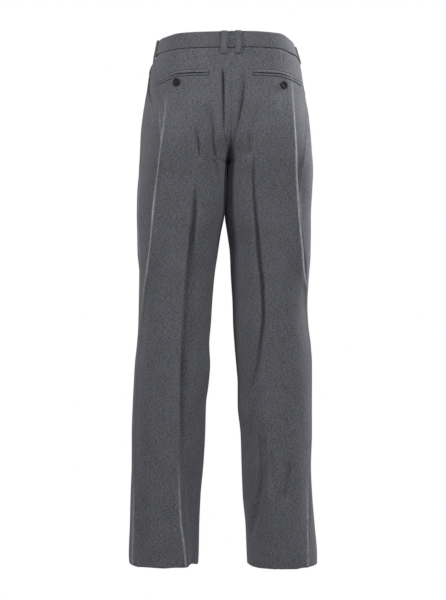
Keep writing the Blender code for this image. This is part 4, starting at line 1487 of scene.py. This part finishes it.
def sew_button(side, stand):
    """Dark thread plugs at a button's four holes, as thread and as painted shade in the holes, and the
    threads that cross between them.
    """
    top = BUTTON_DISH * BUTTON_TALL
    turned = stand @ Matrix.Rotation(math.radians(BUTTON_TURN), 4, "Z")
    out = turned.to_3x3() @ Vector((0.0, 0.0, 1.0))
    wide = turned.to_3x3() @ Vector((HOLE_WIDE, 0.0, 0.0))
    angles = np.radians(HOLE_ANGLES)
    spots = [Vector((math.cos(a), math.sin(a), 0.0)) * HOLE_SPREAD for a in angles]
    mouths = [turned @ (spot + Vector((0.0, 0.0, top))) for spot in spots]
    # The button has no holes cut: dark thread plugs paint the shade inside them.
    holes = [(mouth - wide, mouth + wide, out) for mouth in mouths]
    bars = []
    for first, second in ((0, 2), (1, 3)):
        for shift in (-0.00016, 0.00016):
            lift = Vector((shift, shift * (1.0 if first else -1.0), top + 0.0002))
            bars.append((turned @ (spots[first] + lift), turned @ (spots[second] + lift), out))
    stitch_bars("button_hole_thread_shade_" + side, holes, HOLE_THREAD_SHADE, "hole_thread")
    stitch_bars("button_thread_" + side, bars, BUTTON_THREAD)


def button_loop(side, button):
    """A thread loop from the pocket's lower welt round the shank of the button."""
    middle, slit = button["x"], WELTS[side]["slit"]
    foot = slit + 6.0
    marks = []
    for share in np.linspace(0.0, 1.0, SHANK_MARKS):
        turn = math.pi * share
        across = middle + SHANK_HALF * math.cos(turn) * (0.55 + 0.45 * math.sin(turn))
        drop = foot + (button["drop"] - slit - 3.0) * math.sin(turn) ** 0.8
        marks.append(cloth_point(side, across, BACK, drop, 1.2))
    section = Section(side, foot)
    out = outward(section, section.turn_at(middle, BACK), 0.0, 6.0)
    bars = stitch_row(marks, [out] * len(marks), gap=-0.2)
    stitch_bars("button_loop_" + side, bars, SHANK_LOOP)


class TROUSERS_OT_fly(bpy.types.Operator):
    """Lay the fly flap on the front and stitch its curve"""

    bl_idname = "trousers.fly"
    bl_label = "Fly"

    def execute(self, context):
        rows, runs, downs = [], [], []
        for row in range(FLY_ROWS + 1):
            share = math.sin(0.5 * math.pi * row / FLY_ROWS)
            drop = PANEL_TOP + 1.0 + share * (FLY_LENGTH - PANEL_TOP)
            stops = np.linspace(-FLY_LAP, fly_reach(share), FLY_COLUMNS + 1)
            rows.append([front_spot(x, drop, FLY_LIFT) for x in stops[::-1]])
            runs.append(stops[::-1] + FLY_LAP)
            downs.append(drop)
        flat = flat_map(runs, downs)
        item = cut_cloth("cloth_fly", rows, flat, settings("cloth").wall, flannel("flannel"))
        sew(item, "wool", "fly_flap")
        stitch_bars("fly_stitches", fly_stitches())
        return {"FINISHED"}


def fly_reach(share):
    """How far the fly reaches over the front: straight, then curved in at its foot."""
    bend = max(0.0, (share - FLY_STRAIGHT) / (1.0 - FLY_STRAIGHT))
    curve = math.sqrt(max(0.0, 1.0 - bend ** 2.2))
    return -FLY_LAP + FLY_FOOT + (FLY_WIDTH + FLY_LAP - FLY_FOOT) * curve


def front_spot(across, drop, lift):
    side = LEFT if across >= 0.0 else RIGHT
    section = section_at(side, round(drop, 2))
    return section.points(section.turn_at(abs(across), FRONT), lift)[0]


def fly_stitches():
    """A row of stitches inside the fly's curved edge."""
    line = []
    for step in range(FLY_MARKS):
        share = math.sin(0.5 * math.pi * step / FLY_MARKS)
        drop = PANEL_TOP + 1.5 + share * (FLY_LENGTH - PANEL_TOP - 4.0)
        across = max(0.4, fly_reach(share) - FLY_INSIDE)
        line.append(Vector(front_spot(across, drop, FLY_LIFT + 0.2)))
    marks = [line[0]]
    for spot in line[1:]:
        if (spot - marks[-1]).length >= FLY_STITCH:
            marks.append(spot)
    return stitch_row(marks, [Vector((0.0, -1.0, 0.0))] * len(marks))


class TROUSERS_OT_side_pockets(bpy.types.Operator):
    """Lay the slanted front pocket mouths and topstitch them"""

    bl_idname = "trousers.side_pockets"
    bl_label = "Side Pockets"

    def execute(self, context):
        bars = []
        for side in (LEFT, RIGHT):
            bars += build_pocket_edge(side)
        stitch_bars("pocket_stitches", bars)
        return {"FINISHED"}


def build_pocket_edge(side):
    rows, runs, downs, line, outs = [], [], [], [], []
    top = POCKET_TOP_FROM_SEAM[side]
    across = np.array(POCKET_EDGE_STOPS)
    for row in range(POCKET_EDGE_ROWS + 1):
        share = row / POCKET_EDGE_ROWS
        drop = PANEL_TOP + 1.5 + share * (POCKET_FOOT - PANEL_TOP)
        section = Section(side, drop)
        turns, lengths = section.measure(section.seam_turn(), 1.6 * math.pi)
        start = top + share * (POCKET_FOOT_FROM_SEAM - top)
        stops = start + across * POCKET_EDGE_WIDTH
        stand = POCKET_STAND[side] * math.sin(math.pi * min(1.0, share * 1.35)) ** 2
        fall = 1.0 - smooth(across, 0.0, 1.0)
        edge = -0.9 * bell(across * POCKET_EDGE_WIDTH, 0.6)
        sunk = POCKET_SINK * smooth(share, 0.15, 0.75)
        lifts = POCKET_LIFT - sunk + stand * fall + edge
        rows.append(section.points(np.interp(stops, lengths, turns), lifts))
        runs.append(stops - start)
        downs.append(math.hypot(drop - PANEL_TOP, share * (top - POCKET_FOOT_FROM_SEAM)))
        at = np.interp(start + TOPSTITCH, lengths, turns)
        line.append(section.points(at, POCKET_LIFT + 0.2 - sunk + stand * 0.5)[0])
        outs.append(outward(section, at, 2.0, 9.0))
    flat = flat_map(runs, downs)
    node = "pocket_edge_" + side
    wall = settings("cloth").wall
    item = cut_cloth("cloth_" + node, rows, flat, wall, flannel("trim_flannel"), side == RIGHT)
    sew(item, "trim_wool", node)
    return stitch_row(line, outs, gap=0.3)


class TROUSERS_OT_stage(bpy.types.Operator):
    """Set the camera, the pale floor and the soft lights"""

    bl_idname = "trousers.stage"
    bl_label = "Stage"

    def execute(self, context):
        build_camera()
        build_world()
        build_floor()
        for light in LIGHTS:
            soft_box(*light)
        return {"FINISHED"}


def build_camera():
    stage = settings("stage")
    azimuth = math.radians(CAMERA["azimuth"])
    roll = math.radians(CAMERA["roll"])
    place = Vector((math.sin(azimuth), -math.cos(azimuth), 0.0)) * stage.distance
    place.z = stage.height
    ahead = Vector((-place.x, -place.y, 0.0)).normalized()
    up = Vector((0.0, 0.0, 1.0))
    across = ahead.cross(up)
    ahead = (ahead * stage.distance - across * CAMERA["aim_shift"]).normalized()
    across = ahead.cross(up).normalized()
    rolled_across = across * math.cos(roll) + up * math.sin(roll)
    rolled_up = up * math.cos(roll) - across * math.sin(roll)
    lens = bpy.data.cameras.new("camera")
    lens.sensor_fit = "VERTICAL"
    lens.sensor_height = CAMERA["sensor"]
    lens.lens = CAMERA["lens"]
    camera = put_in("camera", lens)
    turned = Matrix((rolled_across, rolled_up, -ahead)).transposed().to_4x4()
    turned.translation = place
    camera.matrix_world = turned
    bpy.context.scene.camera = camera


def build_world():
    """A white studio: plain white to the eye, and a weak even light on the cloth."""
    scene = bpy.context.scene
    scene.view_settings.view_transform = "Standard"
    world = bpy.data.worlds.new("studio")
    world.use_nodes = True
    scene.world = world
    tree = world.node_tree
    seen = tree.nodes["Background"]
    seen.inputs["Color"].default_value = WHITE
    lit = tree.nodes.new("ShaderNodeBackground")
    lit.inputs["Color"].default_value = WHITE
    lit.inputs["Strength"].default_value = settings("stage").haze
    path = tree.nodes.new("ShaderNodeLightPath")
    mix = tree.nodes.new("ShaderNodeMixShader")
    tree.links.new(path.outputs["Is Camera Ray"], mix.inputs[0])
    tree.links.new(lit.outputs[0], mix.inputs[1])
    tree.links.new(seen.outputs[0], mix.inputs[2])
    tree.links.new(mix.outputs[0], tree.nodes["World Output"].inputs["Surface"])


def build_floor():
    shape = bmesh.new()
    bmesh.ops.create_circle(shape, cap_ends=True, segments=FLOOR["segments"], radius=FLOOR["radius"])
    bmesh.ops.translate(shape, vec=(0.0, 0.0, FLOOR["height"]), verts=shape.verts)
    finish = Finish("pale_floor")
    finish.polish(Base_Color=FLOOR["colour"], Roughness=0.9)
    finish.polish(Emission_Color=WHITE, Emission_Strength=0.03)
    floor = add_item("floor", mesh_of("floor", shape), finish.material)


def soft_box(name, bearing, distance, height, width, tall, aim, power):
    light = bpy.data.lights.new(name, "AREA")
    light.shape = "RECTANGLE"
    light.size = width
    light.size_y = tall
    light.energy = power * settings("stage").brightness
    lamp = put_in(name, light)
    turn = math.radians(bearing)
    place = Vector((math.sin(turn) * distance, math.cos(turn) * distance, height))
    lamp.location = place
    lamp.rotation_euler = (Vector((0.0, 0.0, aim)) - place).to_track_quat("-Z", "Y").to_euler()
    lamp.visible_camera = False


class TROUSERS_PT_panel(bpy.types.Panel):
    """Sizes and steps of the trousers"""

    bl_idname = "TROUSERS_PT_panel"
    bl_label = "Pleated Dress Trousers"
    bl_space_type = "VIEW_3D"
    bl_region_type = "UI"
    bl_category = "Trousers"

    def draw(self, context):
        layout = self.layout
        for name in ("cloth", "trim", "stage"):
            group = settings(name)
            box = layout.box()
            for prop in group.bl_rna.properties:
                if prop.identifier not in ("rna_type", "name"):
                    box.prop(group, prop.identifier)
        for step in STEPS:
            layout.operator(step.bl_idname)


STEPS = (
    TROUSERS_OT_stage,
    TROUSERS_OT_back_panels,
    TROUSERS_OT_front_panels,
    TROUSERS_OT_waistband,
    TROUSERS_OT_belt_loops,
    TROUSERS_OT_back_pockets,
    TROUSERS_OT_buttons,
    TROUSERS_OT_fly,
    TROUSERS_OT_side_pockets,
)
GROUPS = {"cloth": ClothSettings, "trim": TrimSettings, "stage": StageSettings}


def register():
    for name, group in GROUPS.items():
        bpy.utils.register_class(group)
        setattr(bpy.types.Scene, "trouser_" + name, PointerProperty(type=group))
    for step in STEPS:
        bpy.utils.register_class(step)
    bpy.utils.register_class(TROUSERS_PT_panel)


def unregister():
    bpy.utils.unregister_class(TROUSERS_PT_panel)
    for step in reversed(STEPS):
        bpy.utils.unregister_class(step)
    for name, group in GROUPS.items():
        delattr(bpy.types.Scene, "trouser_" + name)
        bpy.utils.unregister_class(group)


def main():
    register()
    for step in STEPS:
        group, name = step.bl_idname.split(".")
        getattr(getattr(bpy.ops, group), name)()


if __name__ == "__main__":
    main()
